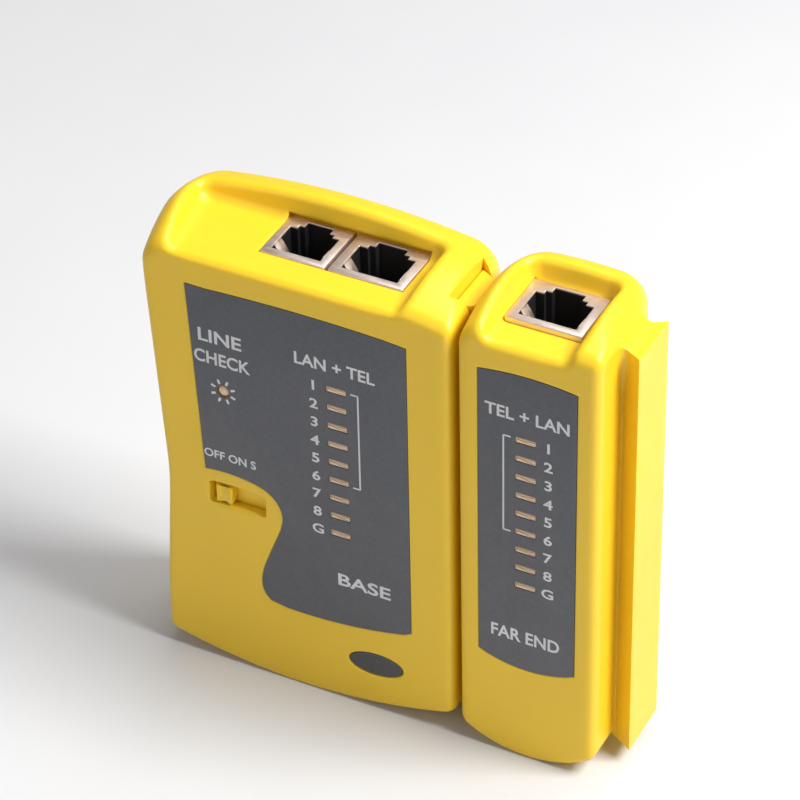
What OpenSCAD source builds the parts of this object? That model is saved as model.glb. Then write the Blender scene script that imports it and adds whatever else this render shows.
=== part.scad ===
// Network cable tester: a main unit with two jacks and a narrower remote unit that docks on its
// right side with a dovetail rail. X runs to the right, Y to the back, Z up. The origin is under
// the middle of the docked pair, at the lowest point of the bases.

/* [Units] */
// Height of both units, base to top of arch
unit_h = 105; // [104:0.5:106]
// Depth of both units, front face to back face
unit_d = 28; // [28:0.5:30]
// Width of the main unit
main_w = 67.7; // [67:0.1:69]
// Width of the remote unit without its rails
remote_w = 29; // [28.8:0.1:30]
// Wall thickness of the moulded shells
wall = 2; // [1.8:0.1:2.2]
// Radius of the rounding round the front face
edge_r = 3; // [2.6:0.2:3.2]
// How much lower the top is at the front face than at mid depth
front_drop = 3.5; // [3:0.1:4]
// How much lower the top is at the back face than at mid depth
back_drop = 4.4; // [4:0.1:4.8]
// How far the sides draw in from mid depth to the back face
back_in = 4.6; // [4:0.1:4.8]
// How far the main unit's left side draws in towards the front face
left_draft = 1.9; // [1.5:0.1:2]
// Radius of the upper corners, seen from the front
corner_r = 5; // [4.5:0.5:6]

/* [Base and top curves] */
// Radius of the main unit's curved base
main_base_r = 113; // [105:1:130]
// Radius of the main unit's arched top
main_arch_r = 167; // [160:1:180]
// Radius of the remote unit's curved base
remote_base_r = 24; // [23:0.5:30]
// Radius of the remote unit's arched top
remote_arch_r = 90; // [80:1:110]
// Depth of the hand waist in the main unit's left side
waist_in = 2.95; // [2.5:0.05:3.2]
// Height of the narrowest place of the waist
waist_z = 44; // [42:1:46]

/* [Dock] */
// How far a dovetail rail stands out
rail_out = 4.35; // [4.1:0.05:4.5]
// Width of a rail at its outer face
rail_face = 13.2; // [12:0.2:13.6]
// Width of a rail at its neck
rail_neck = 8; // [7.6:0.1:8.4]
// Clearance round the rail in its groove
dock_gap = 0.3; // [0.25:0.05:0.35]
// Space between the sides of the docked units
unit_gap = 1.3; // [1:0.1:1.5]

/* [Jacks] */
// Width of an eight way jack
jack8_w = 15.7; // [15.4:0.1:16]
// Width of the six way jack
jack6_w = 13.7; // [13.2:0.1:13.8]
// Depth of every jack, front to back
jack_d = 13.1; // [12.8:0.1:13.4]
// Length of every jack, along the plug
jack_l = 17; // [16:0.5:18]
// How far the remote jack stands out of its deck
remote_jack_up = 1.2; // [0.6:0.1:1.6]

/* [Lamps and label] */
// Pitch of the nine lamps
lamp_pitch = 4.36; // [4.2:0.02:4.5]
// Length of a light bar's face
lamp_l = 4.2; // [3.8:0.1:4.4]
// Height of a light bar's face
lamp_h = 1.25; // [1.1:0.05:1.4]
// Thickness of the label film
film = 0.25; // [0.2:0.05:0.3]

/* [Switch and battery] */
// Travel from one switch place to the next
switch_step = 3.4; // [3:0.1:3.6]
// Width of the switch knob
knob_w = 3.5; // [3.2:0.1:3.6]
// Height of the switch knob
knob_h = 4.1; // [3.8:0.1:4.2]
// Length of the 9 V battery with its terminals
battery_l = 48.5; // [48:0.1:48.6]

/* [Hidden] */
$fn = 32;
e = 0.01;

front = -unit_d / 2;
back = unit_d / 2;
inner_front = front + wall;
cover_y = 10.4;                      // plane where the rear covers meet the front shells
cover_skin = back - wall;            // inner face of the rear covers

total_w = main_w + unit_gap + remote_w + rail_out;
main_x0 = -total_w / 2;
main_x1 = main_x0 + main_w;
remote_x0 = main_x1 + unit_gap;
remote_x1 = remote_x0 + remote_w;
remote_xc = (remote_x0 + remote_x1) / 2;

hip_in = 1;                          // inset of the left side below the waist
hip_z = waist_z - 30;
waist_top_z = 92;

deck_z = unit_h - 6.2;               // flat floor of the scooped tops
scoop_rise = 7;
scoop_run = 1.8;                     // how far the scoop's walls lean out over that rise
main_deck = [main_x0 + 7, main_x1 - 10.75];
remote_deck = [remote_x0 + 5.55, remote_x1 - 6.35];
front_round = 2.5;                   // rounding where a deck runs into the front face

rail_z0 = 3.4;
rail_z1 = deck_z - 0.2;
groove_x = remote_x0 - rail_out - dock_gap;
channel_wall = 1.7;

board = [-8.2, -6.6];                // front and back faces of both circuit boards, in Y
jack8_x = main_x1 - 13.3 - jack8_w;
jack6_x = jack8_x - 0.75 - jack6_w;
remote_jack_x = remote_xc - 0.4 - jack8_w / 2;
jack_z1 = deck_z + 0.3;
remote_jack_z1 = deck_z + remote_jack_up;
jack_sheet = 0.35;
fit_gap = 0.15;                      // between a jack and the shell round it
jack_window_z = [deck_z - 4, deck_z + 1.5];

main_lamp_x = main_x1 - 23.95;       // middle of the light bars
main_lamp_z = 77.2;                  // top light bar
remote_lamp_x = remote_x0 + 14.2;
remote_lamp_z = 78.5;
lamps = 9;
power_led_at = [main_x0 + 19.15, 69];
power_led_r = 1.3;

knob_at = [main_x0 + 18, 43.2];      // middle of the knob in its OFF place
knob_travel = 2 * switch_step;
pocket_x = [knob_at[0] - knob_w / 2 - 1.25, knob_at[0] + knob_travel + knob_w / 2 + 0.45];
pocket_half_h = knob_h / 2 + 0.35;
dish_d = 0.35;                       // depth of the shallow dish round the pocket
lever = [1.2, 0.7];                  // half width and half height of the lever, which plugs into the knob
lever_tip = front + 1.6;
shutter_y = [inner_front + 0.15, inner_front + 0.95];    // slides behind the pocket and closes it

battery_x = [main_x0 + 21.45, main_x0 + 47.95];
battery_z0 = 5.2;
battery_y = [-5.6, 11.9];
terminal_h = 3;
door_x = [battery_x[0] - 1.6, battery_x[1] + 1.6];
door_top = 58;
door_gap = 0.3;
door_bevel = 1.1;

main_bosses = [[main_x0 + 8.8, 92], [main_x1 - 9.6, 92], [main_x0 + 9.6, 10.5], [main_x1 - 9.6, 10.5]];
remote_bosses = [[remote_x0 + 7.5, 12], [remote_x1 - 7.5, 12], [remote_x0 + 7.5, 74]];
main_posts = [[main_x0 + 13.45, 60], [main_x0 + 51.45, 58], [main_x0 + 13.45, 16]];
remote_posts = [[remote_x1 - 6.6, 62], [remote_x1 - 6.6, 26]];
boss_r = 2.7;
pilot_r = 1.1;

yellow = [0.98, 0.80, 0.10];
grey = [0.27, 0.27, 0.29];
tan = [0.85, 0.66, 0.48];
green = [0.10, 0.38, 0.22];
silver = [0.78, 0.74, 0.72];
black = [0.08, 0.08, 0.09];
gold = [0.85, 0.68, 0.30];

// ---- helpers -------------------------------------------------------------------------------

// Points on an arc in the XZ plane
function arc(c, r, a0, a1, n = 12) =
    [for (i = [0 : n]) let (a = a0 + (a1 - a0) * i / n) c + r * [cos(a), sin(a)]];

// Draws an XZ outline as a slab between two places in Y
module slab(y0, y1) translate([0, y1, 0]) rotate([90, 0, 0]) linear_extrude(y1 - y0) children();

// A box from its ranges in X, Y and Z
module block(x, y, z) translate([x[0], y[0], z[0]]) cube([x[1] - x[0], y[1] - y[0], z[1] - z[0]]);

// A rod along Y at one place in X and Z
module rod(at, y0, y1, r) translate([at[0], y1, at[1]]) rotate([90, 0, 0]) cylinder(r = r, h = y1 - y0);

// A round tube swept along a list of points, with 8 sides
module lead(path, r) {
    n = len(path);
    dirs = [for (i = [0 : n - 1]) path[min(i + 1, n - 1)] - path[max(i - 1, 0)]];
    rings = [for (i = [0 : n - 1])
        let (t = dirs[i] / norm(dirs[i]), u0 = cross(t, [0.2, 1, 0.1]), u = u0 / norm(u0), v = cross(t, u))
        [for (k = [0 : 7]) path[i] + r * (cos(45 * k) * u + sin(45 * k) * v)]];
    sides = [for (i = [0 : n - 2]) for (k = [0 : 7])
        [8 * i + k, 8 * i + (k + 1) % 8, 8 * (i + 1) + (k + 1) % 8, 8 * (i + 1) + k]];
    ends = [[for (k = [7 : -1 : 0]) k], [for (k = [0 : 7]) 8 * (n - 1) + k]];
    polyhedron([for (ring = rings) for (p = ring) p], concat(sides, ends), convexity = 6);
}

// A smooth path through four control points
function bezier(p, n = 20) = [for (i = [0 : n]) let (t = i / n, s = 1 - t)
    s * s * s * p[0] + 3 * s * s * t * p[1] + 3 * s * t * t * p[2] + t * t * t * p[3]];

// ---- outer form of the two units -----------------------------------------------------------

// How far the outline has drawn in at a place in Y: at the sides, and at the top
function rounding(y) = y < front + edge_r ?
    edge_r - sqrt(edge_r * edge_r - (front + edge_r - y) * (front + edge_r - y)) : 0;
function fall(y) = 1 - sqrt(max(1 - y * y / (back * back), 0));
function side_in(y) = y < 0 ? rounding(y) : back_in * fall(y);
function top_in(y) = y < 0 ? rounding(y) + front_drop * y * y / (front * front) : back_drop * fall(y);

// What the hand waist takes off the main unit's left side, in the XZ plane
module waist_cut(inset) translate([main_x0 + inset, 0])
    polygon([[-9, waist_top_z], [0, waist_top_z], [waist_in, waist_z], [hip_in, hip_z], [hip_in, -9],
        [-9, -9]]);

// Front view of a unit; the base keeps a sharper edge than the sides and the top
module unit_outline(x0, x1, arch_r, base_r, side, top, left, waist) {
    xc = (x0 + x1) / 2;
    base_edge_r = base_r - min(side, edge_r) / 4;
    module plain() difference() {
        intersection() {
            translate([x0 + side + left, 0]) square([x1 - x0 - 2 * side - left, unit_h]);
            union() {
                translate([xc, unit_h - top - arch_r]) circle(r = arch_r, $fn = 240);
                translate([xc - arch_r, 0]) square([2 * arch_r, max(unit_h - top - arch_r, 1)]);
            }
            union() {
                translate([xc, base_r]) circle(r = base_edge_r, $fn = base_r > 60 ? 180 : 90);
                translate([xc - base_r, base_r]) square([2 * base_r, unit_h]);
            }
        }
        if (waist) waist_cut(side + left);
    }
    intersection() {
        translate([x0, 30]) square([x1 - x0, unit_h]);
        offset(r = corner_r) offset(delta = -corner_r) plain();
    }
    intersection() {
        translate([x0, 0]) square([x1 - x0, 30]);
        plain();
    }
}

// Outlines of the two units, with their sides and top drawn in
module main_outline(side, top, left)
    unit_outline(main_x0, main_x1, main_arch_r, main_base_r, side, top, left, true);
module remote_outline(side, top)
    unit_outline(remote_x0, remote_x1, remote_arch_r, remote_base_r, side, top, 0, false);

// Places in Y where the outlines are taken: the front half, and the back half
mid = 1.5;                           // half the depth of the band with the full outline
front_places = concat([for (a = [0 : 22.5 : 90]) front + edge_r * (1 - cos(a))],
    [front / 2, front / 4, -mid]);
back_places = concat([mid], [for (a = [20 : 14 : 90]) back * sin(a)]);

module main_part(z0, z1, y, y_to) slab(min(y, y_to), max(y, y_to)) intersection() {
    main_outline(side_in(y), top_in(y), left_draft * max(y / front, 0));
    translate([main_x0, z0]) square([main_w, z1 - z0]);
}
module main_forward() for (z = [[0, waist_z], [waist_z, unit_h]])
    hull() for (y = front_places) main_part(z[0], z[1], y, 0);
module main_rearward() for (z = [[0, waist_z], [waist_z, unit_h]])
    hull() for (y = back_places) main_part(z[0], z[1], y, 0);
module remote_forward() hull() for (y = front_places) slab(y, 0) remote_outline(side_in(y), top_in(y));
module remote_rearward() hull() for (y = back_places) slab(0, y) remote_outline(side_in(y), top_in(y));

// The scooped top: a flat deck with leaning side walls and a back wall
module scoop(x, y_back) hull() {
    block(x, [front - 1, y_back], [deck_z, deck_z + e]);
    block([x[0] - scoop_run, x[1] + scoop_run], [front - 1, y_back + scoop_run],
        [deck_z + scoop_rise, deck_z + scoop_rise + e]);
}
module front_edge_round(x) difference() {
    block(x, [front - 1, front + front_round], [deck_z - front_round, deck_z + e]);
    translate([x[0] - 1, front + front_round, deck_z - front_round]) rotate([0, 90, 0])
        cylinder(r = front_round, h = x[1] - x[0] + 2);
}

// Cross-section of a dovetail rail seen from above, standing out along +X from x = 0
module rail_plan(grow = 0) polygon([
    [-1, -rail_neck / 2 - grow], [0, -rail_neck / 2 - grow], [rail_out + grow, -rail_face / 2 - grow],
    [rail_out + grow, rail_face / 2 + grow], [0, rail_neck / 2 + grow], [-1, rail_neck / 2 + grow]]);
module rail(side) translate([side > 0 ? remote_x1 : remote_x0, 0, rail_z0]) mirror([side > 0 ? 0 : 1, 0, 0])
    linear_extrude(rail_z1 - rail_z0) rail_plan();
module dock_groove() translate([remote_x0, 0, rail_z0 - dock_gap]) mirror([1, 0, 0])
    linear_extrude(unit_h) union() {
        rail_plan(dock_gap);
        translate([-1, -rail_neck / 2 - dock_gap]) square([2, rail_neck + 2 * dock_gap]);
    }

// ---- lamps, label and switch ---------------------------------------------------------------

module lamp_row(x, z_top, y0, y1, grow = 0) for (i = [0 : lamps - 1])
    block([x - lamp_l / 2 - grow, x + lamp_l / 2 + grow], [y0, y1],
        [z_top - i * lamp_pitch - lamp_h / 2 - grow, z_top - i * lamp_pitch + lamp_h / 2 + grow]);
module status_leds(x, z_top) for (i = [0 : lamps - 1]) block([x - 1.6, x + 1.6], [board[0] - 1.1, board[0]],
    [z_top - i * lamp_pitch - 0.75, z_top - i * lamp_pitch + 0.75]);

main_label_l = main_x0 + 11.85;
main_label_r = main_x1 - 8.95;
main_label_top = 92.9;
bay_c = [main_x0 + 23.95, 41.3];     // middle of the round corner of the switch bay
bay_r = 7.2;
module main_label_outline() {
    top_c = [(main_label_l + main_label_r) / 2, main_label_top - 340];
    base_c = [main_x0 + 34.45, 19 + 94];
    polygon(concat(
        arc(top_c, 340, 94, 86, 8),
        [[main_label_r, 92], [main_label_r, 22]],
        arc(base_c, 94, 283.5, 269, 8),
        arc([main_x0 + 28.85, 22.4], 3.2, 250, 180, 6),
        arc(bay_c, bay_r, -14, 90, 12),
        [[main_x0 + 14.1, 48.9], [main_label_l, 92]]));
}
module main_label_clip() intersection() {
    main_label_outline();
    translate([main_label_l, 0]) square([main_label_r - main_label_l, unit_h]);
}

remote_label_x = [remote_x0 + 4.35, remote_x1 - 4.35];
module remote_label_outline() {
    xc = (remote_label_x[0] + remote_label_x[1]) / 2;
    intersection() {
        translate([remote_label_x[0], 0]) square([remote_label_x[1] - remote_label_x[0], unit_h]);
        translate([xc, 93.4 - 61]) circle(r = 61, $fn = 180);
        union() {
            translate([xc, 22.7 + remote_base_r]) circle(r = remote_base_r, $fn = 90);
            translate([xc - 20, 22.7 + remote_base_r]) square([40, unit_h]);
        }
    }
}

// Oval of the badge, slightly tilted
module badge_outline(grow = 0) translate([main_x1 - 17.05, 11.4]) rotate(3.7)
    scale([6 / 2.75, 1]) circle(r = 2.75 + grow, $fn = 48);

module switch_pocket() block(pocket_x, [front - 1, inner_front + 1],
    [knob_at[1] - pocket_half_h, knob_at[1] + pocket_half_h]);
module switch_dish() slab(front - 1, front + dish_d) offset(r = 2) offset(delta = -2)
    translate([knob_at[0] - knob_w / 2 - 3.6, knob_at[1] - knob_h / 2 - 2.1])
    square([knob_travel + knob_w + 4.2, knob_h + 3.8]);

// ---- jacks ---------------------------------------------------------------------------------

// Opening for the plug and its latch, seen from above, centred on the jack; slot_w is its width
module plug_opening(slot_w, grow = 0) union() {
    translate([-slot_w / 2 - grow, -4.8 - grow]) square([slot_w + 2 * grow, 7.7 + 2 * grow]);
    translate([-slot_w * 0.36 - grow, -4]) square([slot_w * 0.72 + 2 * grow, 7.9 + grow]);
    translate([-slot_w * 0.26 - grow, -4]) square([slot_w * 0.52 + 2 * grow, 9.4 + grow]);
}
module jack_shield(x0, w, z1, slot_w) color(silver) translate([x0 + w / 2, 0, z1 - jack_l]) difference() {
    translate([-w / 2, -jack_d / 2, 0]) cube([w, jack_d, jack_l]);
    translate([-w / 2 + jack_sheet, -jack_d / 2 + jack_sheet, -1])
        cube([w - 2 * jack_sheet, jack_d - 2 * jack_sheet, jack_l + 1 - jack_sheet]);
    translate([0, 0, jack_l - 2]) linear_extrude(3) plug_opening(slot_w);
}
module jack_housing(x0, w, z1, slot_w) color(black)
    translate([x0 + w / 2, 0, z1 - jack_l + 0.2]) difference() {
    g = jack_sheet + 0.02;
    translate([-w / 2 + g, -jack_d / 2 + g, 0]) cube([w - 2 * g, jack_d - 2 * g, jack_l - 0.2 - g]);
    translate([0, 0, 3]) linear_extrude(jack_l) plug_opening(slot_w - 0.1);
}
// Bent spring wires that reach into the plug opening from its front side
module jack_contacts(x0, w, z1, ways) color(gold) for (i = [0 : ways - 1])
    translate([x0 + w / 2 + (i - (ways - 1) / 2) * 1.02 - 0.2, 0, z1]) rotate([90, 0, 90])
        linear_extrude(0.4) polygon([[-4.75, -13.4], [-4.75, -2.9], [-4.35, -2.9], [-1.5, -9.6],
            [-1.85, -9.8], [-4.45, -3.7], [-4.45, -13.4]]);

// ---- main unit -----------------------------------------------------------------------------

// Rooms inside the shells; their outline is the outer one where it is narrowest, less the wall
module main_room() difference() {
    slab(inner_front, cover_y + 1) intersection() {
        offset(delta = -wall) main_outline(side_in(cover_y), top_in(inner_front), left_draft);
        translate([main_x0, 0]) square([main_w, deck_z - wall]);
    }
    block([groove_x - channel_wall, main_x1], [-rail_face / 2 - 2.2, rail_face / 2 + 2.2], [-1, unit_h]);
}

module main_front_shell() color(yellow) difference() {
    union() {
        difference() {
            union() {
                main_forward();
                intersection() {
                    main_rearward();
                    block([main_x0, main_x1], [0, cover_y], [0, unit_h]);
                }
            }
            main_room();
        }
        for (b = main_bosses) rod(b, inner_front - e, cover_y, boss_r);
        for (p = main_posts) rod(p, inner_front - e, board[0], 2.2);
    }
    scoop(main_deck, 5.1);
    front_edge_round(main_deck);
    block([jack6_x - fit_gap, jack8_x + jack8_w + fit_gap],
        [-jack_d / 2 - fit_gap, jack_d / 2 + fit_gap], jack_window_z);
    dock_groove();
    slab(front - 1, front + film) main_label_clip();
    slab(front - 1, front + 0.8) badge_outline(0.1);
    lamp_row(main_lamp_x, main_lamp_z, front - 1, inner_front + 1, 0.1);
    rod(power_led_at, front - 1, inner_front + 1, power_led_r + 0.1);
    switch_dish();
    switch_pocket();
    block([pocket_x[0] - knob_travel - 0.3, pocket_x[0]], [inner_front - e, shutter_y[1] + 0.15],
        [knob_at[1] - pocket_half_h - 1.1, knob_at[1] + pocket_half_h + 1.1]);
    for (b = main_bosses) rod(b, cover_y - 9, cover_y + 1, pilot_r);
    for (p = main_posts) rod(p, board[0] - 3, board[0] + 1, 0.9);
}

// Door plan seen from above: wider inside than outside, so that the cover holds it
module door_plan(grow) polygon([
    [door_x[0] - grow, cover_skin + 0.2 - grow], [door_x[1] + grow, cover_skin + 0.2 - grow],
    [door_x[1] + grow, cover_skin + 0.7], [door_x[1] - door_bevel + grow, back + 0.4],
    [door_x[0] + door_bevel - grow, back + 0.4], [door_x[0] - grow, cover_skin + 0.7]]);

module main_rear_cover() color(yellow) difference() {
    union() {
        difference() {
            intersection() {
                main_rearward();
                block([main_x0, main_x1], [cover_y, back], [0, unit_h]);
            }
            slab(cover_y - 1, cover_skin) offset(delta = -wall)
                main_outline(side_in(cover_skin), top_in(cover_skin), 0);
        }
        for (b = main_bosses) rod(b, cover_y, cover_skin + e, 3.1);
        block([door_x[0] - 2, door_x[1] + 2], [cover_y + 0.4, cover_skin + e], [2.5, door_top + 2]);
    }
    translate([0, 0, -1]) linear_extrude(door_top + 1) door_plan(door_gap);
    block([battery_x[0] - 0.5, battery_x[1] + 0.5], [cover_y - 1, back], [battery_z0 - 0.6, door_top - 2.5]);
    for (b = main_bosses) rod(b, cover_y - 1, back + 1, 1.45);
    for (b = main_bosses) rod(b, back - 1.9, back + 1, 2.5);
}

module screw(at, head_y, length, head_r, shank_r) {
    rod(at, head_y - 1.3, head_y, head_r);
    rod(at, head_y - 1.3 - length, head_y - 1.3 + e, shank_r);
}
module cross_recess(at, y) for (a = [0, 90]) translate([at[0], y, at[1]]) rotate([0, a, 0])
    cube([2, 1.2, 0.5], center = true);
module cover_screws(places) color(silver) for (b = places) difference() {
    screw(b, back - 0.6, 7.4, 2.3, pilot_r);
    cross_recess(b, back - 0.6);
}
module board_screws(places) color(silver) for (p = places) difference() {
    screw(p, board[1] + 1.3, 4, 1.9, 0.9);
    cross_recess(p, board[1] + 1.3);
}

module main_label() color(grey) difference() {
    slab(front, front + film) main_label_clip();
    lamp_row(main_lamp_x, main_lamp_z, front - 1, inner_front, 0.05);
    rod(power_led_at, front - 1, inner_front, power_led_r + 0.05);
}
module main_badge() color(black) slab(front + 0.35, front + 0.8) badge_outline();

module light_bars(x, z_top) color(tan) for (i = [0 : lamps - 1]) translate([x, 0, z_top - i * lamp_pitch]) {
    block([-lamp_l / 2, lamp_l / 2], [front + 0.05, board[0] - 1.4], [-lamp_h / 2, lamp_h / 2]);
    block([-lamp_l / 2 - 0.6, lamp_l / 2 + 0.6], [inner_front, inner_front + 0.8],
        [-lamp_h / 2 - 0.4, lamp_h / 2 + 0.4]);
}
module main_light_bars() light_bars(main_lamp_x, main_lamp_z);
module main_status_leds() color("ivory") status_leds(main_lamp_x, main_lamp_z);
module power_led() color(tan) {
    rod(power_led_at, front + 0.1, board[0], power_led_r);
    rod(power_led_at, inner_front, inner_front + 0.9, power_led_r + 0.3);
}

module main_circuit_board() color(green) difference() {
    block([main_x0 + 12.05, main_x1 - 10.75], board, [9, 94]);
    for (p = main_posts) rod(p, board[0] - 1, board[1] + 1, 1.1);
    for (b = main_bosses) rod(b, board[0] - 1, board[1] + 1, boss_r + 0.3);
}
module main_board_screws() board_screws(main_posts);

module slide_switch_frame() color(silver) difference() {
    block([knob_at[0] - 4.2, knob_at[0] + knob_travel + 4.2], [board[0] - 2.4, board[0]],
        [knob_at[1] - 2.6, knob_at[1] + 2.6]);
    block([knob_at[0] - 1.6, knob_at[0] + knob_travel + 1.6], [board[0] - 4, board[0] - 1.2],
        [knob_at[1] - 1.4, knob_at[1] + 1.4]);
}
// A block centred on the knob, given by half its width and height and its range in Y
module at_knob(half, y) block([knob_at[0] - half[0], knob_at[0] + half[0]], y,
    [knob_at[1] - half[1], knob_at[1] + half[1]]);
module switch_lever() color(black) at_knob(lever, [lever_tip, board[0] - 1.6]);
module switch_knob() color(yellow) difference() {
    at_knob([knob_w / 2, knob_h / 2], [front, shutter_y[0]]);
    at_knob(lever, [lever_tip, inner_front + 1]);
    for (k = [-1, 0, 1]) translate([knob_at[0] + k, front, 0]) rotate([0, 0, 45])
        translate([-0.2, -0.2, knob_at[1] - knob_h / 2 - 1]) cube([0.4, 0.4, knob_h + 2]);
}
// Plate behind the knob that keeps the pocket closed in all three places
module switch_shutter() color(yellow) difference() {
    block([pocket_x[0] - knob_travel, pocket_x[1]], shutter_y,
        [knob_at[1] - pocket_half_h - 0.8, knob_at[1] + pocket_half_h + 0.8]);
    at_knob(lever, [inner_front, inner_front + 2]);
}

module chip(x, z, w, l, legs) {
    block([x - w / 2, x + w / 2], [board[1] + 0.3, board[1] + 2.2], [z - l / 2, z + l / 2]);
    for (i = [0 : legs - 1]) for (s = [-1, 1])
        block([x + s * (w / 2 + 0.7) - 0.75, x + s * (w / 2 + 0.7) + 0.75], [board[1], board[1] + 0.5],
            [z + (i - (legs - 1) / 2) * 1.27 - 0.2, z + (i - (legs - 1) / 2) * 1.27 + 0.2]);
}
module sequencer_chip() color(black) chip(main_x0 + 38.45, 70, 4, 10, 8);
module driver_chip() color(black) chip(main_x0 + 26.45, 70, 4, 10, 7);
module axial(at, l, r) {
    translate([at[0], board[1] + r + 0.2, at[1] - l / 2]) cylinder(r = r, h = l);
    for (s = [-1, 1]) {
        translate([at[0], board[1] + r + 0.2, at[1] + s * l / 2 - (s > 0 ? 0 : 1.6)])
            cylinder(r = 0.25, h = 1.6);
        rod([at[0], at[1] + s * (l / 2 + 1.4)], board[1], board[1] + r + 0.3, 0.25);
    }
}
module main_resistors() color("burlywood") for (i = [0 : 3])
    axial([main_x0 + 16.45 + 2.8 * (i % 2), 66 + 10 * floor(i / 2)], 5, 0.9);
module main_capacitor() color("midnightblue") translate([main_x0 + 48.95, 0, 70]) {
    rod([0, 0], board[1] + 0.2, board[1] + 7.2, 2.5);
}

module battery() color([0.16, 0.16, 0.18]) slab(battery_y[0], battery_y[1])
    translate([battery_x[0], battery_z0]) offset(r = 1.5) offset(delta = -1.5)
    square([battery_x[1] - battery_x[0], battery_l - terminal_h]);
battery_top = battery_z0 + battery_l - terminal_h;
battery_c = [(battery_x[0] + battery_x[1]) / 2, (battery_y[0] + battery_y[1]) / 2];
terminal_xy = [battery_c - [6.35, 0], battery_c + [6.35, 0]];
terminal_r = [2.9, 3.9];
module battery_terminals() color(silver) {
    for (i = [0, 1]) translate([terminal_xy[i][0], terminal_xy[i][1], battery_top])
        cylinder(r = terminal_r[i], h = terminal_h);
}
snap_top = battery_top + terminal_h + 1.6;
module battery_snap() color(black) difference() {
    translate([battery_c[0], battery_c[1], battery_top + 0.2]) linear_extrude(snap_top - battery_top - 0.2)
        offset(r = 3) square([19, 6.5], center = true);
    for (i = [0, 1]) translate([terminal_xy[i][0], terminal_xy[i][1], battery_top - 1])
        cylinder(r = terminal_r[i] + 0.05, h = terminal_h + 1.05);
}
lead_r = 0.7;
lead_out = 3.4;                      // how far to the side of its terminal a lead is soldered
module battery_lead(at, side) {
    end_x = at[0] + side * lead_out;
    lead(bezier([[at[0], at[1], snap_top], [at[0], at[1], snap_top + 7],
        [end_x, board[1] + 7, snap_top + 5], [end_x, board[1] + 0.05, snap_top + 5]]), lead_r);
}
module battery_lead_red() color("red") battery_lead(terminal_xy[0], -1);
module battery_lead_black() color(black) battery_lead(terminal_xy[1], 1);
module battery_foam_pad() color([0.3, 0.3, 0.3])
    block([battery_x[0] + 3, battery_x[1] - 3], [board[1], battery_y[0]], [battery_z0 + 5, battery_top - 8]);

module battery_door() color(yellow) difference() {
    intersection() {
        main_rearward();
        linear_extrude(door_top - door_gap) door_plan(0);
    }
    for (i = [0 : 4]) block([(door_x[0] + door_x[1]) / 2 - 7, (door_x[0] + door_x[1]) / 2 + 7],
        [back - 0.5, back + 1], [door_top - 14 + 2 * i, door_top - 13.1 + 2 * i]);
}

module network_jack_shield() jack_shield(jack8_x, jack8_w, jack_z1, 11.8);
module network_jack_housing() jack_housing(jack8_x, jack8_w, jack_z1, 11.8);
module network_jack_contacts() jack_contacts(jack8_x, jack8_w, jack_z1, 8);
module phone_jack_shield() jack_shield(jack6_x, jack6_w, jack_z1, 10.4);
module phone_jack_housing() jack_housing(jack6_x, jack6_w, jack_z1, 10.4);
module phone_jack_contacts() jack_contacts(jack6_x, jack6_w, jack_z1, 6);

// ---- remote unit ---------------------------------------------------------------------------

module remote_front_shell() color(yellow) difference() {
    union() {
        difference() {
            union() {
                remote_forward();
                intersection() {
                    remote_rearward();
                    block([remote_x0, remote_x1], [0, cover_y], [0, unit_h]);
                }
            }
            slab(inner_front, cover_y + 1) intersection() {
                offset(delta = -wall) remote_outline(side_in(cover_y), top_in(inner_front));
                translate([remote_x0, 0]) square([remote_w, deck_z - wall]);
            }
        }
        rail(1);
        rail(-1);
        for (b = remote_bosses) rod(b, inner_front - e, cover_y, boss_r);
        for (p = remote_posts) rod(p, inner_front - e, board[0], 2.2);
    }
    scoop(remote_deck, 6.9);
    front_edge_round(remote_deck);
    block([remote_jack_x - fit_gap, remote_jack_x + jack8_w + fit_gap],
        [-jack_d / 2 - fit_gap, jack_d / 2 + fit_gap], jack_window_z);
    slab(front - 1, front + film) remote_label_outline();
    lamp_row(remote_lamp_x, remote_lamp_z, front - 1, inner_front + 1, 0.1);
    for (b = remote_bosses) rod(b, cover_y - 9, cover_y + 1, pilot_r);
    for (p = remote_posts) rod(p, board[0] - 3, board[0] + 1, 0.9);
}

module remote_rear_cover() color(yellow) difference() {
    union() {
        difference() {
            intersection() {
                remote_rearward();
                block([remote_x0, remote_x1], [cover_y, back], [0, unit_h]);
            }
            slab(cover_y - 1, cover_skin) offset(delta = -wall)
                remote_outline(side_in(cover_skin), top_in(cover_skin));
        }
        for (b = remote_bosses) rod(b, cover_y, cover_skin + e, 3.1);
    }
    for (b = remote_bosses) rod(b, cover_y - 1, back + 1, 1.45);
    for (b = remote_bosses) rod(b, back - 1.9, back + 1, 2.5);
}

module remote_label() color(grey) difference() {
    slab(front, front + film) remote_label_outline();
    lamp_row(remote_lamp_x, remote_lamp_z, front - 1, inner_front, 0.05);
}
module remote_light_bars() light_bars(remote_lamp_x, remote_lamp_z);
module remote_status_leds() color("ivory") status_leds(remote_lamp_x, remote_lamp_z);
module remote_circuit_board() color(green) difference() {
    block([remote_x0 + 4, remote_x1 - 4], board, [17, 95]);
    for (p = remote_posts) rod(p, board[0] - 1, board[1] + 1, 1.1);
    rod(remote_bosses[2], board[0] - 1, board[1] + 1, boss_r + 0.3);
}
module remote_jack_shield() jack_shield(remote_jack_x, jack8_w, remote_jack_z1, 11.8);
module remote_jack_housing() jack_housing(remote_jack_x, jack8_w, remote_jack_z1, 11.8);
module remote_jack_contacts() jack_contacts(remote_jack_x, jack8_w, remote_jack_z1, 8);
module remote_diodes() color("firebrick") for (i = [0 : 3]) axial([remote_xc - 4.5 + 3 * i, 50], 3.6, 0.95);
module remote_resistors() color("burlywood") for (i = [0 : 3]) axial([remote_xc - 4.5 + 3 * i, 36], 5, 0.9);

// ---- nodes ---------------------------------------------------------------------------------

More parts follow.
